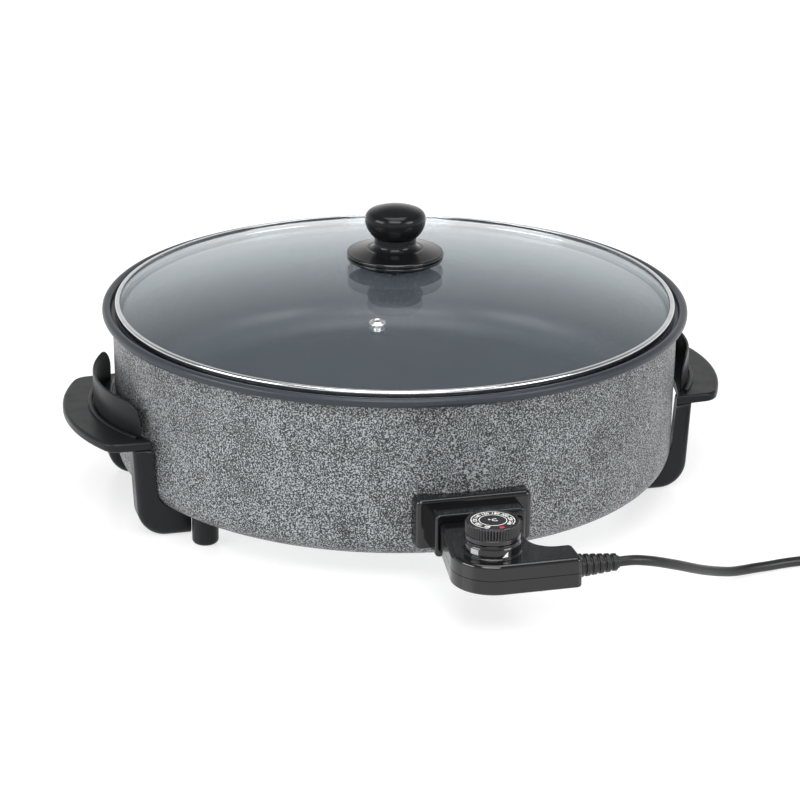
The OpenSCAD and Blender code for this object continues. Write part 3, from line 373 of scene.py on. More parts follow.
@dataclass(frozen=True)
class Moulding(Finish):
    """Moulded plastic, rubber or print with a fine skin."""

    colour: Colour
    smooth: float
    rough: float
    skin: float = 0.6
    depth: float = 0.02
    shine: float = 0.5
    patch: float = 14.0
    patch_lift: float = 1.35

    def shade(self, graph: ShaderGraph) -> bpy.types.Material:
        """Builds the skin's grain and its uneven gloss.

        Args:
            graph: The empty graph of the material.

        Returns:
            The finished material.
        """
        drift = graph.noise(self.patch, detail=3.0)
        tone = graph.blend(drift, self.colour, tuple(self.patch_lift * level for level in self.colour))
        skin = graph.bump(graph.noise(self.skin), self.depth)
        gloss = graph.gloss(drift, self.smooth, self.rough)
        return graph.surface(tone, gloss, {"Specular IOR Level": self.shine, "Normal": skin})


@dataclass(frozen=True)
class MetalFinish(Finish):
    """Bare or plated metal, with marks drawn out along one axis."""

    colour: Colour
    smooth: float
    rough: float
    grain: float
    stretch: Place = (1, 1, 1)
    tarnish: Colour = (0.60, 0.61, 0.62)
    patch: float = 9.0
    depth: float = 0.01

    def shade(self, graph: ShaderGraph) -> bpy.types.Material:
        """Builds the drawn marks and a slow tarnish.

        Args:
            graph: The empty graph of the material.

        Returns:
            The finished material.
        """
        tone = graph.blend(graph.noise(self.patch, detail=4.0), self.tarnish, self.colour)
        marks = graph.noise(self.grain, 3.0, self.stretch)
        gloss = graph.gloss(marks, self.smooth, self.rough)
        return graph.surface(tone, gloss, {"Metallic": 1.0, "Normal": graph.bump(marks, self.depth)})


@dataclass(frozen=True)
class CloudedFinish(Finish):
    """Ceramic or clear coloured glass: one field gives its tone, its gloss and its grain."""

    dark: Colour
    light: Colour
    cover: float = 1.0
    grain: float = 1.5
    detail: float = 2.0
    smooth: float = 0.06
    rough: float = 0.14
    depth: float = 0.0

    def shade(self, graph: ShaderGraph) -> bpy.types.Material:
        """Builds the cloud and, where it has a depth, its grain.

        Args:
            graph: The empty graph of the material.

        Returns:
            The finished material.
        """
        cloud = graph.noise(self.grain, self.detail)
        others: Inputs = {"Alpha": self.cover}
        if self.depth:
            others["Normal"] = graph.bump(cloud, self.depth)
        tone = graph.blend(cloud, self.dark, self.light)
        return graph.surface(tone, graph.gloss(cloud, self.smooth, self.rough), others)


@dataclass(frozen=True)
class ClearGlass(Finish):
    """Clear sheet glass: a hazy mirror that covers more the flatter it is seen."""

    tint: Colour = (0.85, 0.93, 0.97)
    straight: float = 0.055
    gloss: float = 0.015
    mirror: float = 0.9
    fall_off: float = 5.0
    film: float = 60.0

    def shade(self, graph: ShaderGraph) -> bpy.types.Material:
        """Builds the cover from the angle of sight and a faint film of wiping marks.

        Args:
            graph: The empty graph of the material.

        Returns:
            The finished material.
        """
        facing = graph.node("LayerWeight", {"Blend": 0.5}, "Facing")
        cover = self.straight + (1 - self.straight) * facing**self.fall_off
        film = graph.noise(self.film, detail=3.0)
        rough = graph.spread(film, 0.4, 0.8, self.gloss, 3 * self.gloss)
        return graph.surface(self.tint, rough, {"Metallic": self.mirror, "Alpha": cover})


class Finishes:
    """The finishes of the pan."""

    COAT = NonStickCoat("sprayed_coat", "non_stick_coat")
    PAINT = HammeredPaint("hammered_wall", "hammered_paint")
    GLASS = ClearGlass("lid_sheet", "lid_glass")
    SHEET = MetalFinish("zinc_sheet", "plated_sheet", (0.62, 0.63, 0.64), 0.28, 0.42, 3.0)
    SCREW = MetalFinish("nickel_plate", "plated_steel", (0.74, 0.74, 0.73), 0.16, 0.3, 0.8)
    SHEATH = MetalFinish(
        "element_tube", "element_sheath", (0.34, 0.32, 0.30), 0.35, 0.5, 1.5, tarnish=(0.16, 0.15, 0.15)
    )
    CAST = MetalFinish("cast_metal", "cast_aluminium", (0.70, 0.70, 0.71), 0.4, 0.6, 1.0)
    BRASS = MetalFinish(
        "bare_brass", "brass", (0.72, 0.52, 0.22), 0.2, 0.34, 1.0, tarnish=(0.52, 0.36, 0.15)
    )
    STEEL = MetalFinish("rolled_band", "polished_steel", (0.82, 0.83, 0.84), 0.08, 0.16, 0.7, (1, 1, 8))
    EYELET = MetalFinish("pressed_eyelet", "polished_steel", (0.86, 0.87, 0.88), 0.30, 0.38, 0.7)
    CERAMIC = CloudedFinish(
        "bare_ceramic", "ceramic", (0.5904, 0.5576, 0.492), (0.72, 0.68, 0.60), 1.0, 1.2, 4.0, 0.7, 0.9, 0.06
    )
    LAMP = CloudedFinish("neon_lamp", "lamp_glass", (0.42, 0.40, 0.38), (0.63, 0.60, 0.57), 0.6)
    WINDOW = CloudedFinish("smoked_window", "lamp_window", (0.30, 0.30, 0.31), (0.45, 0.45, 0.465), 0.9)
    RESIN = Moulding("handle_moulding", "handle_resin", (0.0060, 0.0064, 0.0074), 0.28, 0.38, shine=0.2)
    RUBBER = Moulding("foot_moulding", "foot_rubber", (0.012, 0.012, 0.012), 0.4, 0.55)
    GLOSS = Moulding("gloss_moulding", "gloss_black", (0.0042, 0.0043, 0.0048), 0.09, 0.16, 1.2, 0.006)
    KNOB = Moulding("knob_moulding", "gloss_black", (0.005, 0.0053, 0.006), 0.12, 0.20, 0.8, 0.008, 0.2)
    WHITE = Moulding("white_ink", "white_plastic", (0.62, 0.62, 0.60), 0.4, 0.5, 0.4, 0.004)
    RED = Moulding("red_ink", "lamp_window", (0.42, 0.02, 0.03), 0.4, 0.5, 0.4, 0.004)
    JACKET = Moulding("lead_jacket", "cord_jacket", (0.007, 0.0072, 0.008), 0.30, 0.40, 0.5, 0.012, 0.4)
    DIAL = Moulding("dial_moulding", "dial_black", (0.008, 0.008, 0.009), 0.16, 0.24, 0.6, 0.008)
    DISC = Moulding("dial_disc", "dial_print", (0.010, 0.010, 0.011), 0.14, 0.22, 0.8, 0.006)


class Form:
    """A mesh in the making, in millimetres about the pan's axis."""

    def __init__(self) -> None:
        """Starts an empty mesh."""
        self.bm = bmesh.new()
        self.first: Optional[bmesh.types.BMVert] = None
        self.tip: Optional[bmesh.types.BMVert] = None

    @property
    def geometry(self) -> list[Any]:
        """All vertices, edges and faces."""
        return self.bm.verts[:] + self.bm.edges[:] + self.bm.faces[:]

    def start(self, x: float, y: float) -> Form:
        """Sets the pen down."""
        self.first = self.tip = self.bm.verts.new((x, y, 0.0))
        return self

    def line(self, *points: Point) -> Form:
        """Draws straight lines from the pen's place through points.

        Args:
            points: The points.

        Returns:
            The form.
        """
        for x, y in points:
            self.tip = bmesh.ops.extrude_vert_indiv(self.bm, verts=[self.tip])["verts"][0]
            self.tip.co = (x, y, 0.0)
        return self

    def arc(self, centre: Point, degrees: float, steps: int) -> Form:
        """Draws an arc from the pen's place.

        Args:
            centre: Centre of the arc.
            degrees: Angle, positive against the clock.
            steps: Number of edges.

        Returns:
            The form.
        """
        angle = math.radians(degrees)
        made = bmesh.ops.spin(
            self.bm, geom=[self.tip], cent=(*centre, 0.0), axis=(0, 0, 1), angle=angle, steps=steps
        )
        self.tip = next(item for item in made["geom_last"] if isinstance(item, bmesh.types.BMVert))
        return self

    def close(self) -> Form:
        """Joins the pen's place to where it was set down.

        Returns:
            The form.
        """
        if (self.tip.co - self.first.co).length > WELD:
            self.bm.edges.new((self.tip, self.first))
        return self.weld()

    def outline(self, *corners: Corner, closed: bool = True) -> Form:
        """Draws lines between corners and rounds those that have a radius.

        Args:
            corners: Places, with the radius of a round corner.
            closed: Whether the last corner joins the first.

        Returns:
            The form.
        """
        self.start(*corners[0][:2])
        spots = [self.tip] + [self.line(corner[:2]).tip for corner in corners[1:]]
        if closed:
            self.bm.edges.new((self.tip, self.first))
        for index, (x, y, *radius) in enumerate(corners):
            if radius:
                at = Vector((x, y))
                before = Vector(corners[index - 1][:2]) - at
                after = Vector(corners[(index + 1) % len(corners)][:2]) - at
                reach = radius[0] / math.tan(before.angle(after) / 2)
                self.round_off([spots[index]], "VERTICES", reach, min(12, 4 + int(radius[0])), False)
        return self

    def round_off(self, geom: list[Any], affect: str, reach: float, steps: int, clamp: bool) -> None:
        """Rounds vertices or edges, within the shortest edge beside them where it is clamped.

        Args:
            geom: The vertices or edges.
            affect: VERTICES or EDGES.
            reach: Width of the round.
            steps: Faces across it.
            clamp: Whether it stays within the shortest edge beside it.
        """
        bmesh.ops.bevel(
            self.bm, geom=geom, affect=affect, offset=reach, offset_type="OFFSET", segments=steps,
            profile=0.5, material=-1, clamp_overlap=clamp,
        )

    @classmethod
    def turned(cls, steps: int, *profile: Corner, closed: bool = False) -> Form:
        """A round piece about Z, from the radius, height and corner radius along its half section."""
        return cls().outline(*profile, closed=closed).turn(90.0, "X").spin(360.0, steps)

    @classmethod
    def rod(cls, radius: float, low: float, high: float, steps: int = Steps.BORE) -> Form:
        """A round bar along Z."""
        return cls.turned(steps, (0.0, low), (radius, low), (radius, high), (0.0, high))

    @classmethod
    def panel(cls, low: Point, high: Point, radius: float, depth: Point) -> Form:
        """A block along Z from one end of its depth to the other, with a round-cornered section."""
        corners = (low, (high[0], low[1]), high, (low[0], high[1]))
        return cls().outline(*[(*corner, radius) for corner in corners]).slab(*depth)

    def spin(self, degrees: float, steps: int) -> Form:
        """Turns all there is about Z, and joins the ends of a full turn.

        Args:
            degrees: Angle of the turn.
            steps: Faces along it.

        Returns:
            The form.
        """
        turn = {"angle": math.radians(degrees), "steps": steps, "use_merge": degrees >= 360.0}
        bmesh.ops.spin(self.bm, geom=self.geometry, cent=(0, 0, 0), axis=(0, 0, 1), **turn)
        return self.weld().outward()

    def fill(self) -> Form:
        """Fills the drawn outline."""
        bmesh.ops.edgeloop_fill(self.bm, edges=self.bm.edges[:])
        return self

    def slab(self, low: float, high: float) -> Form:
        """Fills the drawn outline and raises it.

        Args:
            low: Height of its underside.
            high: Height of its top.

        Returns:
            The form.
        """
        self.fill().shift(0, 0, low)
        made = bmesh.ops.extrude_face_region(self.bm, geom=self.bm.faces[:])
        grown = [item for item in made["geom"] if isinstance(item, bmesh.types.BMVert)]
        bmesh.ops.translate(self.bm, verts=grown, vec=(0, 0, high - low))
        return self.outward()

    def weld(self) -> Form:
        """Merges vertices that lie on each other."""
        bmesh.ops.remove_doubles(self.bm, verts=self.bm.verts[:], dist=WELD)
        return self

    def outward(self) -> Form:
        """Points all faces outwards."""
        bmesh.ops.recalc_face_normals(self.bm, faces=self.bm.faces[:])
        return self

    def move(self, matrix: Matrix) -> Form:
        """Moves the form by a matrix."""
        bmesh.ops.transform(self.bm, matrix=matrix, verts=self.bm.verts[:])
        return self

    def shift(self, x: float, y: float, z: float) -> Form:
        """Shifts the form."""
        return self.move(Matrix.Translation((x, y, z)))

    def turn(self, degrees: float, axis: str = "Z") -> Form:
        """Turns the form about an axis through the origin."""
        return self.move(Matrix.Rotation(math.radians(degrees), 4, axis))

    def bevel(
        self,
        width: float,
        steps: int,
        where: Optional[EdgeTest] = None,
        sharp: float = 30.0,
        clamp: bool = True,
    ) -> Form:
        """Rounds sharp edges.

        Args:
            width: Width of the round.
            steps: Faces across it.
            where: Test on an edge's middle that picks the edges.
            sharp: Least angle of an edge that is rounded, in degrees.
            clamp: Whether the round stays within the shortest edge beside it.

        Returns:
            The form.
        """
        limit = math.radians(sharp)
        edges = [
            edge
            for edge in self.bm.edges
            if len(edge.link_faces) == 2
            and edge.calc_face_angle(0.0) > limit
            and (where is None or where((edge.verts[0].co + edge.verts[1].co) / 2))
        ]
        self.round_off(edges, "EDGES", width, steps, clamp)
        return self

    def mesh(self, name: str) -> bpy.types.Mesh:
        """Makes a mesh data block of the form, which is used up.

        Args:
            name: The mesh's name.

        Returns:
            The mesh.
        """
        made = bpy.data.meshes.new(name)
        self.bm.to_mesh(made)
        self.bm.free()
        return made

    def take(self, other: Form) -> Form:
        """Adds another form to this one.

        Args:
            other: The form, which is used up.

        Returns:
            The form.
        """
        lent = other.mesh("lent")
        self.bm.from_mesh(lent)
        bpy.data.meshes.remove(lent)
        return self

    def show(self, source: bpy.types.Object) -> Form:
        """Adds the mesh that an object shows.

        Args:
            source: The object.

        Returns:
            The form.
        """
        shown = source.evaluated_get(bpy.context.evaluated_depsgraph_get())
        self.bm.from_mesh(shown.to_mesh())
        shown.to_mesh_clear()
        return self

    def combine(self, others: Sequence[Form], operation: str) -> Form:
        """Works other closed forms into this one.

        Args:
            others: The forms, which are used up.
            operation: UNION or DIFFERENCE.

        Returns:
            The form.
        """
        stock = placed("stock", self.mesh("stock"))
        tools = [placed("tool", other.mesh("tool")) for other in others]
        for tool in tools:
            work = stock.modifiers.new("work", "BOOLEAN")
            work.operation = operation
            work.solver = "MANIFOLD"
            work.object = tool
        self.bm = bmesh.new()
        self.show(stock)
        for used in (stock, *tools):
            mesh = used.data
            bpy.data.objects.remove(used)
            bpy.data.meshes.remove(mesh)
        return self.weld()

    def carve(self, *cutters: Form) -> Form:
        """Takes other closed forms out of this one."""
        return self.combine(cutters, "DIFFERENCE")

    def fuse(self, *others: Form) -> Form:
        """Joins other closed forms to this one as one skin."""
        return self.combine(others, "UNION")


@dataclass
class Assembly:
    """A sub-assembly about the pan's axis, whose pieces ride on one body."""

    origin: Vector
    body = Body.PAN

    def piece(
        self, form: Form, name: str, finish: Finish, *replaces: str, sharp: float = 32.0
    ) -> bpy.types.Object:
        """Makes an object of a form and lets it ride on the body.

        Args:
            form: The form, which is used up.
            name: The piece's name.
            finish: Its finish.
            replaces: The solids that it stands for.
            sharp: Edges above this angle stay sharp, in degrees.

        Returns:
            The object.
        """
        form.move(Matrix.Translation(self.origin) @ Matrix.Diagonal((MM, MM, MM, 1.0)))
        mesh = form.mesh(name)
        mesh.polygons.foreach_set("use_smooth", [True] * len(mesh.polygons))
        mesh.set_sharp_from_angle(angle=math.radians(sharp))
        made = placed(name, mesh)
        made.modifiers.new("even_normals", "WEIGHTED_NORMAL").keep_sharp = True
        self.dress(made, finish)
        if replaces:
            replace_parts(made, *replaces)
        LOG.info("%s: %d faces on %s", name, len(mesh.polygons), self.body.value)
        return made

    def dress(self, made: bpy.types.Object, finish: Finish) -> None:
        """Gives an object its finish and its body.

        Args:
            made: The object.
            finish: The finish.
        """
        made.data.materials.append(finish.material())
        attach(made, self.body.value)


@dataclass
class Vessel(Assembly):
    """The double-walled pan with its rolled rim and foot posts."""

    rim_r: float = 210.0
    rim_top: float = 137.5
    lip_in_r: float = 203.7
    lip_z: float = 131.0
    lip_round: float = 2.9
    seat_z: float = 132.5
    cook_top_r: float = 197.8
    cook_r: float = 195.8
    floor_z: float = 50.0
    floor_fillet: float = 25.0
    pan_t: float = 2.0
    shell_top_r: float = 202.8
    shell_r: float = 201.0
    shell_t: float = 1.2
    base_z: float = 19.5
    shell_corner: float = 16.0
    opening_r: float = 160.0
    foot_d: float = 18.5
    foot_spot: Point = (158.31, 87.75)
    foot_round: float = 3.0
    well_d: float = 9.2
    well_roof: float = 5.4

    def wall_solid(self, gap: float, spread: float = 0.0) -> Form:
        """The outer wall's shape as a solid, grown sideways by a gap and spread at its upper edge.

        Args:
            gap: Sideways growth.
            spread: Further growth at the upper edge.

        Returns:
            The solid.
        """
        return Form.turned(
            Steps.PAN,
            (0.0, self.base_z),
            (self.shell_r + gap, self.base_z, self.shell_corner + gap),
            (self.shell_top_r + gap + spread, self.lip_z),
            (0.0, self.lip_z),
        )

    def cooking_pan(self) -> Form:
        """The coated pan: floor, wall, seat for the lid and rolled rim.

        Returns:
            The pan's form.
        """
        thick = self.pan_t
        return Form.turned(
            Steps.PAN,
            (0.0, self.floor_z),
            (self.cook_r, self.floor_z, self.floor_fillet),
            (self.cook_top_r, self.seat_z, 0.8),
            (self.lip_in_r, self.seat_z, 0.7),
            (self.lip_in_r, self.rim_top, self.lip_round),
            (self.rim_r, self.rim_top, self.lip_round),
            (self.rim_r, self.lip_z, self.lip_round),
            (self.cook_top_r + thick, self.lip_z, 0.3),
            (self.cook_r + thick, self.floor_z - thick, self.floor_fillet + thick),
            (0.0, self.floor_z - thick),
        )

    def shell(self) -> Form:
        """The painted outer wall, turned in under the base.

        Returns:
            The wall's form.
        """
        thick = self.shell_t
        return Form.turned(
            Steps.PAN,
            (self.shell_top_r, self.lip_z),
            (self.shell_r, self.base_z, self.shell_corner),
            (self.opening_r, self.base_z),
            (self.opening_r, self.base_z + thick),
            (self.shell_r - thick, self.base_z + thick, self.shell_corner - thick),
            (self.shell_top_r - thick, self.lip_z),
            closed=True,
        )

    def foot(self) -> Form:
        """A foot post with the well of its screw.

        Returns:
            The post's form.
        """
        edge, well = self.foot_d / 2, self.well_d / 2
        roof = self.base_z - self.well_roof
        return Form.turned(
            Steps.SMALL,
            (0.0, self.base_z),
            (edge, self.base_z, 0.4),
            (edge, 0.0, self.foot_round),
            (well, 0.0, 0.5),
            (well, roof, 0.3),
            (0.0, roof),
        )

    def build(self) -> None:
        """Makes the pan's round pieces."""
        self.piece(self.cooking_pan(), "cooking_pan", Finishes.COAT, "inner_pan")
        self.piece(self.shell(), "painted_shell", Finishes.PAINT, "outer_shell")
        x, y = self.foot_spot
        feet = self.foot().shift(x, y, 0).take(self.foot().shift(-x, -y, 0))
        self.piece(feet, "foot_pair", Finishes.RESIN, "foot_posts")


@dataclass
class HandleBracket(Assembly):
    """A handle plate with its finger guard and the two legs that carry the pan."""

    vessel: Vessel
    grip_x: float = 241.0
    grip_arc: float = 140.0
    half_w: float = 72.0
    corner: float = 13.0
    wall_r: float = 205.3
    plate: Point = (65.0, 71.5)
    plate_edge: float = 2.0
    guard_x: float = 221.0
    guard_arc: float = 110.0
    guard_half_w: float = 65.0
    guard_t: float = 3.5
    guard_top: float = 96.0
    guard_round: float = 16.0
    guard_edge: float = 1.1
    bends: int = 48
    bead: float = 2.0
    bead_in: float = 1.0
    bead_round: float = 0.9
    lap: float = 1.0
    leg_y: Point = (48.0, 72.0)
    leg_foot_x: float = 201.0
    leg_top_x: float = 205.0
    arm_x: float = 165.0
    leg_round: float = 20.0
    leg_edge: float = 5.5
    leg_gap: float = 0.4
    leg_stand: float = 2.5

    @property
    def guard_cx(self) -> float:
        """The middle of the finger guard's curve."""
        return self.guard_x - self.guard_arc

    def grip(self) -> Form:
        """The handle plate.

        Returns:
            The plate's form.
        """
        side = self.half_w
        inner = math.sqrt(self.wall_r**2 - side**2)
        open_angle = math.degrees(math.asin(side / self.wall_r))
        corner_y = side - self.corner
        middle_x = self.grip_x - self.grip_arc
        corner_x = middle_x + math.sqrt((self.grip_arc - self.corner) ** 2 - corner_y**2)
        lean = math.degrees(math.atan2(corner_y, corner_x - middle_x))
        form = Form().start(inner, -side).line((corner_x, -side))
        form.arc((corner_x, -corner_y), 90.0 - lean, 10)
        form.arc((middle_x, 0.0), 2 * lean, 40)
        form.arc((corner_x, corner_y), 90.0 - lean, 10)
        form.line((inner, side)).arc((0.0, 0.0), -2 * open_angle, 40).close()
        return form.slab(*self.plate).bevel(self.plate_edge, 4, self.off_wall, sharp=60.0, clamp=False)

    def off_wall(self, middle: Vector) -> bool:
        """Whether an edge of the plate lies clear of the pan's wall."""
        return middle.xy.length > self.wall_r + NEAR and abs(middle.z - sum(self.plate) / 2) > NEAR

    def guard(self) -> Form:
        """The finger guard: a flat blank with round upper corners, bent and thickened.

        Returns:
            The guard's form.
        """
        half = self.guard_arc * math.asin(self.guard_half_w / self.guard_arc)
        root = self.plate[0] + self.lap
        top = (self.guard_top, self.guard_round)
        blank = Form().outline((-half, root), (half, root), (half, *top), (-half, *top)).fill()
        for step in range(1, self.bends):
            place = (half * (2 * step / self.bends - 1), 0, 0)
            bmesh.ops.bisect_plane(blank.bm, geom=blank.geometry, plane_co=place, plane_no=(1, 0, 0))
        middle = self.guard_arc - self.guard_t / 2
        for vert in blank.bm.verts:
            angle = vert.co.x / self.guard_arc
            x = self.guard_cx + middle * math.cos(angle)
            vert.co = (x, middle * math.sin(angle), vert.co.y)
        blank.outward()
        bmesh.ops.solidify(blank.bm, geom=blank.bm.faces[:], thickness=self.guard_t / 2)
        return blank.weld().outward().bevel(self.guard_edge, 4, sharp=50.0, clamp=False)

    def foot_bead(self) -> Form:
        """The bead along the outer foot of the finger guard.

        Returns:
            The bead's form.
        """
        inner, outer = self.guard_arc - self.lap, self.guard_arc + self.bead
        low = self.plate[1] - self.lap
        top = (self.plate[1] + self.bead, self.bead_round)
        section = Form().outline((inner, low), (outer, low), (outer, *top), (inner, *top)).fill()
        half = math.degrees(math.asin((self.guard_half_w - self.bead_in) / self.guard_arc))
        section.turn(90.0, "X").turn(-half)
        return section.spin(2 * half, self.bends).shift(self.guard_cx, 0, 0)

    def leg(self, side: int) -> Form:
        """A leg with its arm under the base.

        Args:
            side: -1 for the front leg and 1 for the rear one.

        Returns:
            The form, cut to the outer wall.
        """
        low, high = sorted(side * y for y in self.leg_y)
        root = self.plate[0] + self.lap
        section = Form().outline(
            (self.arm_x, 0.0),
            (self.leg_foot_x, 0.0, self.leg_round),
            (self.leg_top_x, root),
            (self.arm_x, root),
        )
        form = section.slab(-high, -low).turn(90.0, "X")
        outer = self.leg_foot_x - self.leg_round - 1.0

        def on_flank(middle: Vector) -> bool:
            """Whether an edge runs down the outside of the leg."""
            flank = min(abs(middle.y - low), abs(middle.y - high)) < NEAR
            return flank and (middle.x > outer or middle.z < NEAR)

        form.bevel(self.leg_edge, 6, on_flank, clamp=False)
        flat_z = self.vessel.base_z + self.vessel.shell_corner
        rise = (self.vessel.lip_z - flat_z) / (self.plate[0] - flat_z)
        spread = (self.leg_stand - self.leg_gap) * rise
        return form.carve(self.vessel.wall_solid(self.leg_gap, spread))

    def build(self) -> None:
        """Makes both brackets."""
        for side, turn in (("right", 0.0), ("left", 180.0)):
            form = self.grip().take(self.guard()).take(self.foot_bead())
            form.take(self.leg(-1)).take(self.leg(1)).turn(turn)
            self.piece(form, f"{side}_bracket", Finishes.RESIN, f"{side}_handle", sharp=40.0)


@dataclass
class PowerSocket(Assembly):
    """The socket on the wall that takes the control's neck."""

    vessel: Vessel
    frame_half: float = 40.0
    frame_z: Point = (31.5, 67.5)
    frame_y: float = -210.26
    frame_sink: float = 15.0
    frame_corner: float = 4.0
    frame_edge: float = 3.4
    shroud_half: float = 31.0
    shroud_z: Point = (32.5, 62.3)
    shroud_y: float = -225.66
    shroud_root: float = -195.0
    shroud_edge: float = 1.6
    pocket_half: float = 29.0
    pocket_z: Point = (35.8, 57.3)
    pocket_y: float = -206.66
    pocket_end: float = -240.0
    inner_corner: float = 3.0
    wall_gap: float = 0.1
    line_z: float = 44.0
    pin_x: float = 14.0
    pin_d: float = 5.2
    probe_d: float = 7.4
    bore_y: Point = (-150.0, -230.0)

    def block(self, half: float, z: Point, corner: float, root: float, front: float) -> Form:
        """A round-cornered block that runs forward in Y about the middle line."""
        return Form.panel((-half, z[0]), (half, z[1]), corner, (-root, -front)).turn(90.0, "X")

    def frame(self) -> Form:
        """The frame with its round border.

        Returns:
            The frame's form.
        """
        root = self.frame_sink - self.vessel.shell_r
        form = self.block(self.frame_half, self.frame_z, self.frame_corner, root, self.frame_y)
        return form.bevel(self.frame_edge, 6, lambda middle: middle.y < self.frame_y + NEAR)

    def shroud(self) -> Form:
        """The shroud round the control's neck.

        Returns:
            The shroud's form.
        """
        form = self.block(
            self.shroud_half, self.shroud_z, self.inner_corner, self.shroud_root, self.shroud_y
        )
        return form.bevel(self.shroud_edge, 5, lambda middle: middle.y < self.shroud_y + NEAR)

    def bores(self, pin_d: float, probe_d: float, ends: Point) -> list[Form]:
        """Cutters along Y on the line of the pins and the probe.

        Args:
            pin_d: Diameter for the pins.
            probe_d: Diameter for the probe.
            ends: Where they start and end.

        Returns:
            The three cutters.
        """
        root, front = ends
        made = []
        for x, diameter in ((-self.pin_x, pin_d), (self.pin_x, pin_d), (0.0, probe_d)):
            made.append(Form.rod(diameter / 2, -root, -front).turn(90.0, "X").shift(x, 0, self.line_z))
        return made

    def cutters(self) -> list[Form]:
        """The wall behind the socket, the pocket for the neck and the three bores.

        Returns:
            The forms that are carved out.
        """
        pocket = self.block(
            self.pocket_half, self.pocket_z, self.inner_corner, self.pocket_y, self.pocket_end
        )
        bores = self.bores(self.pin_d, self.probe_d, self.bore_y)
        return [self.vessel.wall_solid(self.wall_gap), pocket, *bores]

    def build(self) -> None:
        """Makes the socket."""
        form = self.frame().fuse(self.shroud()).carve(*self.cutters())
        self.piece(form, "wall_socket", Finishes.GLOSS, "socket_housing", sharp=40.0)


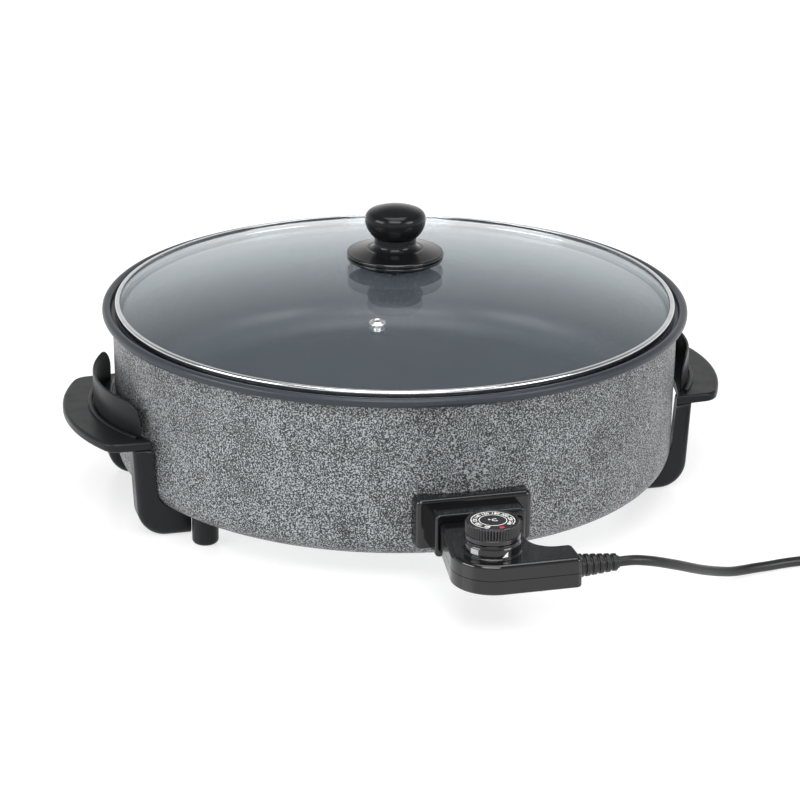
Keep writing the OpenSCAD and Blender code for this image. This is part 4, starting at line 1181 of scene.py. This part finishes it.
@dataclass
class GlassLid(Assembly):
    """The domed glass with its steel band, steam eyelet and knob."""

    body = Body.LID
    glass_edge_r: float = 199.7
    glass_t: float = 4.0
    glass_rise: float = 27.0
    glass_top: float = 165.0
    hole_r: float = 3.0
    band_r: float = 201.0
    band_z: float = 132.7
    band_top: float = 140.0
    band_w: float = 3.5
    band_t: float = 0.7
    hem: float = 0.8
    vent_reach: float = 111.0
    vent_angle: float = 249.0
    vent_d: float = 11.3
    vent_hole_d: float = 3.6
    guard_r: float = 35.0
    guard_z: float = 166.0
    guard_lift: float = 2.2
    guard_edge: float = 5.2
    guard_sink: float = 0.5
    groove_depth: float = 1.8
    neck_r: float = 15.0
    foot_r: float = 4.6
    knob_r: float = 21.8
    knob_z: float = 176.0
    knob_neck_h: float = 8.2
    knob_wide_z: float = 198.0
    knob_top: float = 207.5
    shoulder_r: float = 6.5

    @property
    def ball_r(self) -> float:
        """Radius of the ball that the glass is cut from."""
        return (self.glass_edge_r**2 + self.glass_rise**2) / (2 * self.glass_rise)

    def sheet(self) -> Form:
        """The domed sheet of glass with its hole for the knob's screw.

        Returns:
            The sheet's form.
        """
        ball, edge = self.ball_r, self.glass_edge_r
        middle = self.glass_top - ball
        low = middle - self.glass_t
        sweep = math.degrees(math.asin(edge / ball)) - math.degrees(math.asin(self.hole_r / ball))
        form = Form().start(self.hole_r, middle + math.sqrt(ball**2 - self.hole_r**2))
        form.arc((0.0, middle), -sweep, 32).line((edge, low + math.sqrt(ball**2 - edge**2)))
        form.arc((0.0, low), sweep, 32).close()
        return form.turn(90.0, "X").spin(360.0, Steps.PAN)

    def band(self) -> Form:
        """The steel band rolled over the glass's edge.

        Returns:
            The band's form.
        """
        thick, low, top, outer = self.band_t, self.band_z, self.band_top, self.band_r
        lip = outer - self.band_w
        return Form.turned(
            Steps.PAN,
            (lip, top - thick),
            (outer - thick, top - thick, 0.8),
            (outer - thick, low + thick, 0.8),
            (lip + self.hem, low + thick),
            (lip + self.hem, low, 0.3),
            (outer, low, 1.4),
            (outer, top, 1.6),
            (lip, top, 0.3),
            closed=True,
        )

    def eyelet(self) -> Form:
        """The steam eyelet, square to the glass.

        Returns:
            The eyelet's form.
        """
        hole, edge = self.vent_hole_d / 2, self.vent_d / 2
        under = -self.glass_t - 0.1
        low = -self.glass_t - self.hem
        form = Form.turned(
            Steps.SMALL,
            (hole, low),
            (hole, 1.5, 0.5),
            (0.55 * edge, 1.9, 0.6),
            (edge, 0.5, 0.4),
            (edge, 0.1),
            (hole + 1.0, 0.1),
            (hole + 1.0, under),
            (edge - 0.6, under, 0.2),
            (edge - 0.6, low, 0.3),
            closed=True,
        )
        tilt = math.degrees(math.asin(self.vent_reach / self.ball_r))
        form.shift(0, 0, self.ball_r).turn(tilt, "Y").turn(self.vent_angle)
        return form.shift(0, 0, self.glass_top - self.ball_r)

    def guard_disc(self) -> Form:
        """The knob's guard disc: a low cone over two rings with a groove between.

        Returns:
            The disc's form.
        """
        edge = self.guard_r
        bottom = self.guard_z - self.guard_sink
        low = self.guard_z + self.guard_lift
        top = low + self.guard_edge
        groove, floor = 0.5 * (low + top), edge - self.groove_depth
        return Form.turned(
            Steps.KNOB,
            (0.0, bottom),
            (edge - 6.0, bottom, 0.3),
            (edge - 4.5, low, 0.3),
            (edge - 0.4, low, 0.9),
            (edge - 0.4, groove - 0.5, 0.8),
            (floor, groove - 0.3, 0.2),
            (floor, groove + 0.3, 0.2),
            (edge, groove + 0.5, 0.6),
            (edge, top, 1.2),
            (edge - 3.0, top + 0.4, 1.2),
            (self.neck_r + self.foot_r + 1.0, self.knob_z, 3.0),
            (0.0, self.knob_z),
        )

    def knob(self) -> Form:
        """The mushroom knob: a flared foot, a short neck, a round bowl, a shoulder and a low dome.

        Returns:
            The knob's form.
        """
        foot, wide = self.neck_r + self.foot_r, self.knob_wide_z
        spread = self.knob_r - self.neck_r
        climb = wide - self.knob_z - self.knob_neck_h
        bowl_r = (spread**2 + climb**2) / (2 * spread)
        shoulder = self.knob_r - self.shoulder_r
        rise = self.knob_top - wide
        dome_r = 0.5 * (shoulder**2 + rise**2 - self.shoulder_r**2) / (rise - self.shoulder_r)
        cap = math.degrees(math.atan2(shoulder, dome_r - rise))
        form = Form().start(0.0, self.knob_z).line((foot, self.knob_z))
        form.arc((foot, self.knob_z + self.foot_r), -90.0, 10)
        form.line((self.neck_r, self.knob_z + self.knob_neck_h))
        form.arc((self.knob_r - bowl_r, wide), math.degrees(math.asin(climb / bowl_r)), 14)
        form.arc((shoulder, wide), 90.0 - cap, 16)
        form.arc((0.0, self.knob_top - dome_r), cap, 14)
        return form.turn(90.0, "X").spin(360.0, Steps.KNOB)

    def build(self) -> None:
        """Makes the lid's pieces."""
        self.piece(self.sheet(), "glass_dome", Finishes.GLASS, "lid_glass")
        self.piece(self.band(), "steel_band", Finishes.STEEL, "lid_band")
        self.piece(self.eyelet(), "steam_eyelet", Finishes.EYELET, "vent_eyelet")
        self.piece(self.guard_disc(), "knob_disc", Finishes.GLOSS, "knob_guard")
        self.piece(self.knob(), "mushroom_knob", Finishes.KNOB, "lid_knob")


@dataclass
class PlugInControl(Assembly):
    """The control's casing, the dial's pedestal and the strain relief."""

    socket: PowerSocket
    body = Body.CONTROL
    neck_half: float = 28.5
    neck_y: float = -207.16
    throat_x: float = 21.0
    throat_y: float = -226.66
    root_y: float = -229.66
    head_x: float = -7.0
    head_y: float = -275.66
    head_r: float = 27.5
    arm_reach: float = 46.0
    arm_w: float = 25.5
    arm_round: float = 3.6
    crook_r: float = 15.0
    low_z: float = 36.3
    seam_z: float = 46.2
    top_z: float = 56.8
    top_edge: float = 3.0
    low_edge: float = 1.3
    seam_gap: float = 0.35
    wall: float = 2.0
    pedestal_r: float = 18.5
    pedestal_top: float = 65.8
    bush_r: float = 5.4
    opening_z: Point = (50.0, 60.0)
    mouth_d: float = 6.0
    probe_d: float = 6.6
    mouth_ahead: float = 5.0
    mouth_depth: float = 8.0
    pointer_angle: float = -80.0
    pointer_half: float = 1.9
    pointer_z: Point = (1.8, 5.2)
    pointer_lift: float = 0.12
    pointer_sink: float = 0.6
    relief_len: float = 28.0
    relief_root: float = 7.75
    relief_tip: float = 5.4
    relief_ribs: int = 6
    groove: float = 1.6

    @property
    def front_y(self) -> float:
        """The casing's front."""
        return self.head_y - self.head_r

    @property
    def arm_end(self) -> Place:
        """The middle of the arm's end, where the strain relief starts."""
        return (self.arm_reach, self.front_y + self.arm_w / 2, self.seam_z)

    def plan(self) -> Form:
        """The casing's outline from above: neck, round head, arm and crook.

        Returns:
            The drawn outline.
        """
        back = self.front_y + self.arm_w
        corner = Vector((-self.neck_half, self.root_y))
        centre = Vector((self.head_x, self.head_y))
        away = corner - centre
        tangent = math.atan2(away.y, away.x) + math.acos(self.head_r / away.length)
        touch = centre + self.head_r * Vector((math.cos(tangent), math.sin(tangent)))
        form = Form().start(-self.neck_half, self.neck_y).line(tuple(corner), tuple(touch))
        form.arc(tuple(centre), 270.0 - math.degrees(tangent), 36)
        inset = self.arm_reach - self.arm_round
        form.line((inset, self.front_y)).arc((inset, self.front_y + self.arm_round), 90.0, 8)
        form.line((self.arm_reach, back - self.arm_round)).arc((inset, back - self.arm_round), 90.0, 8)
        crook = (self.throat_x + self.crook_r, back + self.crook_r)
        form.line((crook[0], back)).arc(crook, -90.0, 16).line((self.throat_x, self.throat_y))
        return form.line((self.neck_half, self.throat_y), (self.neck_half, self.neck_y)).close()

    def mouths(self) -> list[Form]:
        """Cutters for the contact mouths and the probe in the neck's end."""
        ends = (self.neck_y + self.mouth_ahead, self.neck_y - self.mouth_depth)
        return self.socket.bores(self.mouth_d, self.probe_d, ends)

    def upper_half(self) -> Form:
        """The upper casing as a hollow cover, open under the dial's pedestal.

        Returns:
            The cover's form.
        """
        form = self.plan().slab(self.seam_z + self.seam_gap / 2, self.top_z)
        form.bevel(self.top_edge, 5, lambda middle: middle.z > self.top_z - NEAR, sharp=60.0)
        opening = Form.rod(self.pedestal_r - self.wall, *self.opening_z, Steps.SMALL)
        opening.shift(self.head_x, self.head_y, 0)
        return self.hollow(form, -1).carve(*self.mouths(), opening)

    def lower_half(self) -> Form:
        """The lower casing as a hollow tray.

        Returns:
            The tray's form.
        """
        form = self.plan().slab(self.low_z, self.seam_z - self.seam_gap / 2)
        form.bevel(self.low_edge, 4, lambda middle: middle.z < self.low_z + NEAR, sharp=60.0)
        return self.hollow(form, 1).carve(*self.mouths())

    def hollow(self, form: Form, open_side: int) -> Form:
        """Opens a casing half at its seam and gives it a wall.

        Args:
            form: The filled half.
            open_side: -1 if its seam is below, 1 if above.

        Returns:
            The hollow half.
        """
        seam = max(form.bm.faces, key=lambda face: open_side * face.calc_center_median().z)
        bmesh.ops.delete(form.bm, geom=[seam], context="FACES_ONLY")
        bmesh.ops.solidify(form.bm, geom=form.bm.faces[:], thickness=self.wall)
        return form.outward()

    def pedestal(self) -> Form:
        """The dial's pedestal: a cup with a flared foot and a bore for the shaft's bush.

        Returns:
            The cup's form.
        """
        edge, top, deck = self.pedestal_r, self.pedestal_top, self.top_z
        foot, roof = deck - 0.6, top - self.wall
        form = Form.turned(
            Steps.CUP,
            (self.bush_r, top, 0.3),
            (edge - 0.9, top, 0.5),
            (edge - 0.4, top - 1.6, 0.4),
            (edge, top - 2.4, 0.4),
            (edge, deck + 0.9, 0.5),
            (edge + 0.9, deck + 0.3, 0.4),
            (edge + 0.9, foot),
            (edge - self.wall, foot),
            (edge - self.wall, roof, 0.6),
            (self.bush_r, roof, 0.3),
            closed=True,
        )
        return form.shift(self.head_x, self.head_y, 0)

    def pointer(self) -> Form:
        """The small printed triangle on the pedestal.

        Returns:
            The triangle's form.
        """
        half = self.pointer_half
        low, high = (self.top_z + z for z in self.pointer_z)
        mark = Form().outline((-half, low), (half, low), (-half, high))
        mark.slab(-self.pedestal_r - self.pointer_lift, -self.pedestal_r + self.pointer_sink)
        mark.turn(90.0, "X").turn(180.0 + self.pointer_angle + 90.0)
        return mark.shift(self.head_x, self.head_y, 0)

    def relief(self) -> Form:
        """The tapered strain relief with its ribs.

        Returns:
            The relief's form.
        """
        pitch = self.relief_len / self.relief_ribs
        drop = self.relief_root - self.relief_tip
        plate, neck = self.relief_root - 0.5, self.relief_root - 2.1
        profile = [(0.0, -5.0), (plate, -5.0, 0.3), (plate, -2.0), (neck, -2.0), (neck, 0.0)]
        for rib in range(self.relief_ribs):
            low = rib * pitch
            outer = self.relief_root - drop * rib / self.relief_ribs
            inner = outer - self.groove
            profile += [(outer, low + 0.02, 0.5), (outer, low + 0.62 * pitch, 0.7)]
            profile += [(inner, low + 0.74 * pitch, 0.3), (inner, low + pitch - 0.02, 0.2)]
        profile += [(self.relief_tip - 1.3, self.relief_len), (0.0, self.relief_len)]
        form = Form.turned(Steps.SMALL, *profile).turn(90.0, "Y")
        return form.shift(*self.arm_end)

    def build(self) -> None:
        """Makes the control's pieces."""
        upper = self.upper_half().take(self.pedestal())
        self.piece(upper, "casing_cover", Finishes.GLOSS, "upper_casing", sharp=40.0)
        self.piece(self.lower_half(), "casing_tray", Finishes.GLOSS, "lower_casing", sharp=40.0)
        self.piece(self.pointer(), "dial_pointer", Finishes.WHITE)
        self.piece(self.relief(), "ribbed_relief", Finishes.JACKET, "strain_relief")


@dataclass
class ThermostatDial(Assembly):
    """The fluted dial with its printed scale."""

    control: PlugInControl
    body = Body.DIAL
    low_z: float = 66.3
    top_z: float = 77.8
    edge_r: float = 18.0
    rim_t: float = 2.5
    hub_r: float = 5.5
    hollow_h: float = 5.7
    collar_h: float = 3.0
    flutes: int = 54
    flute_depth: float = 0.9
    disc_r: float = 15.1
    disc_t: float = 0.75
    disc_drop: float = 0.5
    shaft_r: float = 3.1
    print_h: float = 0.08
    print_sink: float = 0.02
    print_bold: float = 0.05
    marks: tuple[str, ...] = ("80", "100", "120", "140", "160", "180", "200", "220", "240")
    first_angle: float = 236.0
    mark_step: float = 34.0
    mark_h: float = 3.8
    mark_r: float = 11.4
    sign_h: float = 5.6
    inner_ring: Point = (8.7, 9.2)
    outer_ring: Point = (13.9, 14.4)
    ring_lap: float = 6.0
    tick: Point = (13.2, 13.9)
    tick_sweep: float = 2.0
    off_mark: Point = (11.6, 14.4)
    off_sweep: float = 14.0

    @property
    def sweep(self) -> float:
        """The angle from the first to the last mark."""
        return (len(self.marks) - 1) * self.mark_step

    def grip(self) -> Form:
        """The dial's body, hollow below, with flutes pressed into its grip.

        Returns:
            The body's form.
        """
        edge, low, top = self.edge_r, self.low_z, self.top_z
        roof, collar = low + self.hollow_h, low + self.collar_h
        deck = top - self.disc_drop - 0.8
        form = Form.turned(
            6 * self.flutes,
            (self.shaft_r, low),
            (self.hub_r, low, 0.3),
            (self.hub_r, roof, 0.3),
            (edge - self.rim_t, roof, 0.3),
            (edge - self.rim_t, low, 0.3),
            (edge, low, 0.5),
            (edge, collar, 0.3),
            (edge - 0.5, collar + 0.3),
            (edge - 0.05, collar + 0.7),
            (edge - 0.05, top - 1.5),
            (edge - 0.8, top - 0.6, 0.3),
            (edge - 1.0, top, 0.4),
            (self.disc_r + 0.3, top, 0.3),
            (self.disc_r + 0.1, deck),
            (self.shaft_r, deck),
            closed=True,
        )
        for vert in form.bm.verts:
            reach = vert.co.xy.length
            if reach > edge - 0.2 and collar + 0.5 < vert.co.z < top - 1.0:
                angle = math.atan2(vert.co.y, vert.co.x)
                wave = 0.5 - 0.5 * math.cos(self.flutes * angle)
                vert.co.xy *= 1 - self.flute_depth * wave / reach
        return form

    def disc(self) -> Form:
        """The scale's disc.

        Returns:
            The disc's form.
        """
        top = self.top_z - self.disc_drop
        low = top - self.disc_t
        return Form.turned(Steps.CUP, (0.0, low), (self.disc_r, low), (self.disc_r, top, 0.15), (0.0, top))

    def ring(self, radii: Point, from_deg: float, sweep: float) -> Form:
        """A printed ring or arc on the disc.

        Args:
            radii: Inner and outer radius.
            from_deg: Where it starts.
            sweep: Its angle.

        Returns:
            The form.
        """
        inner, outer = radii
        low = self.top_z - self.disc_drop - self.print_sink
        high = low + self.print_h
        section = Form().outline((inner, low), (outer, low), (outer, high), (inner, high))
        if sweep < 360.0:
            section.fill()
        return section.turn(90.0, "X").turn(from_deg).spin(sweep, max(4, int(sweep / 5)))

    def figure(self, text: str, size: float, radius: float, angle: float) -> Form:
        """A printed number or sign on the disc.

        Args:
            text: The number or sign.
            size: Height of its figures.
            radius: Distance of its middle from the dial's axis.
            angle: Its direction from the axis.

        Returns:
            The form.
        """
        curve = bpy.data.curves.new("figure", "FONT")
        curve.body = text
        curve.size = size
        curve.align_x = "CENTER"
        curve.align_y = "CENTER"
        curve.extrude = self.print_h / 2
        curve.offset = self.print_bold
        curve.resolution_u = 3
        holder = placed("figure", curve)
        form = Form().show(holder)
        bpy.data.objects.remove(holder)
        bpy.data.curves.remove(curve)
        level = self.top_z - self.disc_drop + self.print_h / 2 - self.print_sink
        return form.shift(0, radius, level).turn(angle - 90.0).weld()

    def scale(self) -> Form:
        """All white print of the scale.

        Returns:
            The print's form.
        """
        form = self.ring(self.inner_ring, 0.0, 360.0)
        start = self.first_angle - self.sweep - self.ring_lap
        form.take(self.ring(self.outer_ring, start, self.sweep + 2 * self.ring_lap))
        for index, mark in enumerate(self.marks):
            angle = self.first_angle - index * self.mark_step
            form.take(self.figure(mark, self.mark_h, self.mark_r, angle))
            form.take(self.ring(self.tick, angle - self.tick_sweep / 2, self.tick_sweep))
        return form.take(self.figure("°C", self.sign_h, 0.0, 90.0))

    def build(self) -> None:
        """Makes the dial's pieces."""
        off = self.first_angle + 0.5 * (360.0 - self.sweep) - self.off_sweep / 2
        spot = (self.control.head_x, self.control.head_y, 0)
        self.piece(self.grip().shift(*spot), "fluted_dial", Finishes.DIAL, "dial_knob", sharp=28.0)
        self.piece(self.disc().shift(*spot), "scale_disc", Finishes.DISC, "dial_scale")
        self.piece(self.scale().shift(*spot), "scale_print", Finishes.WHITE)
        mark = self.ring(self.off_mark, off, self.off_sweep)
        self.piece(mark.shift(*spot), "off_mark", Finishes.RED)


@dataclass
class MainsLead(Assembly):
    """The lead from the strain relief to the plug, with its spare length in a tied coil."""

    control: PlugInControl
    body = Body.CONTROL
    diameter: float = 6.8
    drop_to: float = 3.4
    # Way to the right, way back and share of the drop, from the start to the coil.
    route: tuple[Place, ...] = (
        (0, 0, 0), (10, 0, 0), (20, 1.5, 0.047), (30, 5, 0.129), (40, 10, 0.234), (50, 16, 0.35),
        (60, 23, 0.479), (70, 30.5, 0.607), (80, 38, 0.724), (90, 45, 0.829), (100, 51, 0.911),
        (110, 56, 0.958), (120, 59.5, 0.981), (130, 62, 0.998), (142, 64, 1), (156, 65, 1),
        (172, 65.7, 0.995), (190, 66, 0.986), (208, 66, 0.977), (226, 66, 0.972),
    )
    coil_r: float = 45.0
    coil_z: float = 4.6
    coil_turns: float = 1.875
    cross_turns: float = 0.5
    pitch: float = 7.4
    steps_per_turn: int = 24
    tail: float = 46.0
    tail_steps: int = 6
    tie_w: float = 8.0
    tie_t: float = 0.9
    tie_gap: float = 0.4
    tie_under: float = 0.3
    tie_corner: float = 1.1
    tie_edge: float = 0.25
    tie_angle: float = 45.0
    plug_z: float = 18.5
    plug_r: float = 18.5
    plug_len: float = 40.0
    plug_ribs: int = 4
    rib_pitch: float = 3.4
    rib_h: float = 0.9
    flat_half: float = 4.0

    @property
    def start(self) -> Place:
        """The tip of the strain relief."""
        x, y, z = self.control.arm_end
        return (x + self.control.relief_len, y, z)

    @property
    def coil_centre(self) -> Point:
        """The coil's middle."""
        x, y, _ = self.route[-1]
        return (self.start[0] + x + self.diameter, self.start[1] + y + self.coil_r)

    def coil_point(self, turn: float) -> Place:
        """A point of the coil, counted in turns from its outer end.

        Args:
            turn: Turns from the outer end.

        Returns:
            The point: inwards on the lower layer, up, and outwards on the upper one.
        """
        climb = turn - self.coil_turns
        cross = self.cross_turns
        inner = self.coil_r - self.coil_turns * self.pitch
        if climb < 0:
            reach = self.coil_r - turn * self.pitch
        elif climb < cross:
            reach = inner - self.pitch * (cross / 2 - abs(climb - cross / 2))
        else:
            reach = inner + (climb - cross) * self.pitch
        level = self.coil_z + self.pitch * min(1.0, max(0.0, climb / cross))
        angle = math.tau * turn
        x, y = self.coil_centre
        return (x + reach * math.sin(angle), y - reach * math.cos(angle), level)

    def points(self) -> list[Place]:
        """All points of the lead from the strain relief to the plug.

        Returns:
            The points in order.
        """
        x, y, z = self.start
        made = [(x + right, y + back, z - fall * (z - self.drop_to)) for right, back, fall in self.route]
        last_turn = 2 * self.coil_turns + self.cross_turns
        steps = round(last_turn * self.steps_per_turn)
        made += [self.coil_point(last_turn * step / steps) for step in range(steps + 1)]
        x, y, z = made[-1]
        for step in range(self.tail_steps + 1):
            share = step / self.tail_steps
            lift = (1 - math.cos(math.pi * share)) / 2
            made.append((x, y + (self.diameter + self.tail * share), z + (self.plug_z - z) * lift))
        return made

    def lead(self) -> bpy.types.Object:
        """The lead as one smooth curve.

        Returns:
            The lead's object.
        """
        points = self.points()
        curve = bpy.data.curves.new("mains_lead", "CURVE")
        curve.dimensions = "3D"
        curve.bevel_depth = self.diameter / 2 * MM
        curve.bevel_resolution = 5
        curve.resolution_u = 4
        curve.use_fill_caps = True
        spline = curve.splines.new("BEZIER")
        spline.bezier_points.add(len(points) - 1)
        for knot, point in zip(spline.bezier_points, points):
            knot.co = self.origin + MM * Vector(point)
            knot.handle_left_type = "AUTO"
            knot.handle_right_type = "AUTO"
        made = placed("mains_lead", curve)
        self.dress(made, Finishes.JACKET)
        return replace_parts(made, "cord_lead", "cord_coil", "cord_tail")

    def tie(self) -> Form:
        """The strap round the coil.

        Returns:
            The strap's form.
        """
        thick, width, half = self.tie_t, self.tie_w, self.diameter / 2 + self.tie_gap
        inner = self.coil_r - (self.coil_turns + self.cross_turns / 2) * self.pitch
        low = (inner - half, self.coil_z - self.diameter / 2 - self.tie_under)
        high = (self.coil_r + half, self.coil_z + self.pitch + half)
        outer_low = (low[0] - thick, low[1] - thick)
        outer_high = (high[0] + thick, high[1] + thick)
        strap = Form.panel(outer_low, outer_high, self.tie_corner + thick, (-width / 2, width / 2))
        strap.carve(Form.panel(low, high, self.tie_corner, (-width, width)))
        strap.bevel(self.tie_edge, 2, sharp=60.0)
        return strap.turn(90.0, "X").turn(self.tie_angle).shift(*self.coil_centre, 0)

    def plug(self) -> Form:
        """The plug's body with flat sides and a ribbed tail.

        Returns:
            The plug's form.
        """
        face, length = self.plug_r, self.plug_len
        profile = [(0.0, 0.0), (4.6, 0.0, 0.4)]
        for rib in range(self.plug_ribs):
            low = 1.5 + self.rib_pitch * rib
            reach = 5.4 + 0.25 * rib
            root = reach - self.rib_h
            profile += [(root, low, 0.2), (reach, low + 0.5, 0.3)]
            profile += [(reach, low + 2.0, 0.3), (root, low + 2.5, 0.2)]
        profile += [(7.0, 0.42 * length, 3.0), (face - 4.0, 0.56 * length, 4.0)]
        profile += [(face - 0.6, 0.66 * length, 2.0), (face, 0.72 * length, 1.5)]
        profile += [(face, length, 1.8), (0.0, length)]
        flats = []
        for side in (-1, 1):
            low, high = sorted((side * (face - 2.5), side * (face + 3.0)))
            ends = (0.65 * length, 1.1 * length)
            flats.append(Form.panel((low, -self.flat_half), (high, self.flat_half), 0.6, ends))
        form = Form.turned(Steps.CUP, *profile).carve(*flats).turn(-90.0, "X")
        x, y = self.coil_centre
        return form.shift(x + self.coil_r, y + self.diameter + self.tail, self.plug_z)

    def build(self) -> None:
        """Makes the lead with its strap and plug."""
        lead = self.lead()
        tie = self.piece(self.tie(), "coil_strap", Finishes.RUBBER, "cord_tie")
        plug = self.piece(self.plug(), "mains_plug", Finishes.JACKET, "plug_body")
        tuple(self.origin + MM * Vector(self.start))


@dataclass(frozen=True)
class CarriedNodes:
    """Finishes of the solids that show as they are."""

    nodes: dict[str, bpy.types.Object]
    finishes: tuple[tuple[Finish, tuple[str, ...]], ...] = (
        (Finishes.SHEET, ("base_cover", "earth_strip", "knob_washer")),
        (Finishes.SCREW, ("base_screws", "socket_screws", "handle_screws", "foot_screws")),
        (Finishes.SCREW, ("knob_screw", "casing_screws", "terminal_pins", "plug_pins")),
        (Finishes.SCREW, ("dial_shaft", "contact_points")),
        (Finishes.SHEATH, ("heating_element",)),
        (Finishes.CERAMIC, ("terminal_block", "thermostat_base")),
        (Finishes.CAST, ("probe_guide",)),
        (Finishes.STEEL, ("probe_tube",)),
        (Finishes.BRASS, ("probe_collar", "contact_sockets", "shaft_bush")),
        (Finishes.BRASS, ("bimetal_blade", "switch_blade")),
        (Finishes.LAMP, ("pilot_lamp",)),
        (Finishes.WINDOW, ("pilot_window",)),
        (Finishes.WHITE, ("cord_clamp",)),
    )

    def build(self) -> None:
        """Gives the solids their finishes."""
        for finish, names in self.finishes:
            for name in names:
                solid = self.nodes[name]
                for slot in solid.material_slots:
                    slot.material = finish.material()
                if not solid.material_slots:
                    solid.data.materials.append(finish.material())
                LOG.info("%s: %s", name, finish.name)


@dataclass(frozen=True)
class Softbox:
    """A soft light: its place, its aim and its sides in metres, and its power in watts."""

    name: str
    place: Place
    aim: Place
    size: Point
    power: float

    def build(self) -> None:
        """Adds the light."""
        data = bpy.data.lights.new(self.name, "AREA")
        data.shape = "RECTANGLE"
        data.size, data.size_y = self.size
        data.energy = self.power
        made = placed(self.name, data)
        made.location = self.place
        away = Vector(self.place) - Vector(self.aim)
        made.rotation_euler = away.to_track_quat("Z", "Y").to_euler()


@dataclass
class Studio:
    """Camera, lights, room and floor."""

    origin: Vector
    target: Place = (0.0, 0.0, 130.5)
    distance: float = 2200.0
    azimuth: float = -14.9
    elevation: float = 18.66
    roll: float = 0.42
    lens: float = 137.35
    sensor: float = 36.0
    shift: Point = (0.0065, -0.1154)
    far_clip: float = 50.0
    floor_half: float = 8.0
    floor_z: float = -0.0002
    floor_patch: float = 400.0
    floor_tones: Point = (0.32, 0.34)
    floor_rough: float = 0.3
    floor_glow: float = 0.67
    # Share of the way from straight below to straight above, with the brightness there.
    sky: tuple[Point, ...] = ((0.50, 1.0), (0.62, 0.93), (0.70, 0.65), (0.80, 0.25), (1.0, 0.2))
    boxes: tuple[Softbox, ...] = (
        Softbox("left_box", (-1.7, -0.3, 0.9), (0.0, 0.0, 0.1), (1.1, 0.7), 18.0),
        Softbox("right_box", (1.2, -1.3, 0.9), (0.0, 0.0, 0.1), (0.9, 0.7), 15.0),
        Softbox("front_box", (-0.5, -1.6, 1.8), (0.0, 0.1, 0.1), (1.6, 0.9), 38.0),
        Softbox("top_box", (0.0, -0.1, 2.3), (0.0, 0.0, 0.0), (1.6, 1.6), 32.0),
    )

    def camera(self) -> None:
        """Sets the camera at the pan's usual three-quarter view."""
        turn, tilt = math.radians(self.azimuth), math.radians(self.elevation)
        back = Vector((math.sin(turn) * math.cos(tilt), -math.cos(turn) * math.cos(tilt), math.sin(tilt)))
        right = Vector((math.cos(turn), math.sin(turn), 0.0))
        up = back.cross(right)
        frame = Matrix((right, up, back)).transposed() @ Matrix.Rotation(math.radians(self.roll), 3, "Z")
        data = bpy.data.cameras.new("camera")
        data.lens = self.lens
        data.sensor_width = self.sensor
        data.shift_x, data.shift_y = self.shift
        data.clip_end = self.far_clip
        made = placed("camera", data)
        place = self.origin + MM * (Vector(self.target) + self.distance * back)
        made.matrix_world = Matrix.Translation(place) @ frame.to_4x4()
        bpy.context.scene.camera = made

    def floor(self) -> None:
        """Adds the pale floor."""
        form = Form()
        bmesh.ops.create_grid(form.bm, x_segments=1, y_segments=1, size=self.floor_half)
        made = placed("floor", form.mesh("floor"))
        made.location = (0.0, 0.0, self.floor_z)
        graph = ShaderGraph(bpy.data.materials.new("pale_floor"))
        tone = graph.blend(graph.noise(self.floor_patch), *(grey(level) for level in self.floor_tones))
        glow = {"Emission Color": grey(1.0), "Emission Strength": self.floor_glow}
        made.data.materials.append(graph.surface(tone, self.floor_rough, glow))

    def room(self) -> None:
        """Gives the room a bright horizon under a dim ceiling."""
        world = bpy.data.worlds.new("room")
        bpy.context.scene.world = world
        graph = ShaderGraph(world)
        ray = graph.node("TexCoord", output="Generated")
        height = graph.node("SeparateXYZ", {"Vector": ray}, "Z")
        tone = graph.ramp(0.5 + 0.5 * height, [(at, grey(level)) for at, level in self.sky])
        light = graph.node("Background", {"Color": tone, "Strength": 1.0})
        graph.node("OutputWorld", {"Surface": light})

    def build(self) -> None:
        """Sets the camera, the floor, the room and the lights."""
        self.camera()
        self.floor()
        self.room()
        bpy.context.scene.view_settings.view_transform = "Standard"
        for box in self.boxes:
            box.build()


def pan_axis() -> Vector:
    """The pan's own axis on the table, in the shared frame."""
    low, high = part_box("inner_pan")
    return Vector(((low.x + high.x) / 2, (low.y + high.y) / 2, 0.0))


def main() -> None:
    """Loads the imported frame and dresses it."""
    logging.basicConfig(level=logging.INFO, format="%(message)s")
    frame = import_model()
    axis = pan_axis()
    vessel = Vessel(axis)
    socket = PowerSocket(axis, vessel)
    control = PlugInControl(axis, socket)
    for part in (
        Studio(axis),
        MainsLead(axis, control),
        vessel,
        HandleBracket(axis, vessel),
        socket,
        GlassLid(axis),
        control,
        ThermostatDial(axis, control),
        CarriedNodes(frame["nodes"]),
    ):
        part.build()


if __name__ == "__main__":
    main()
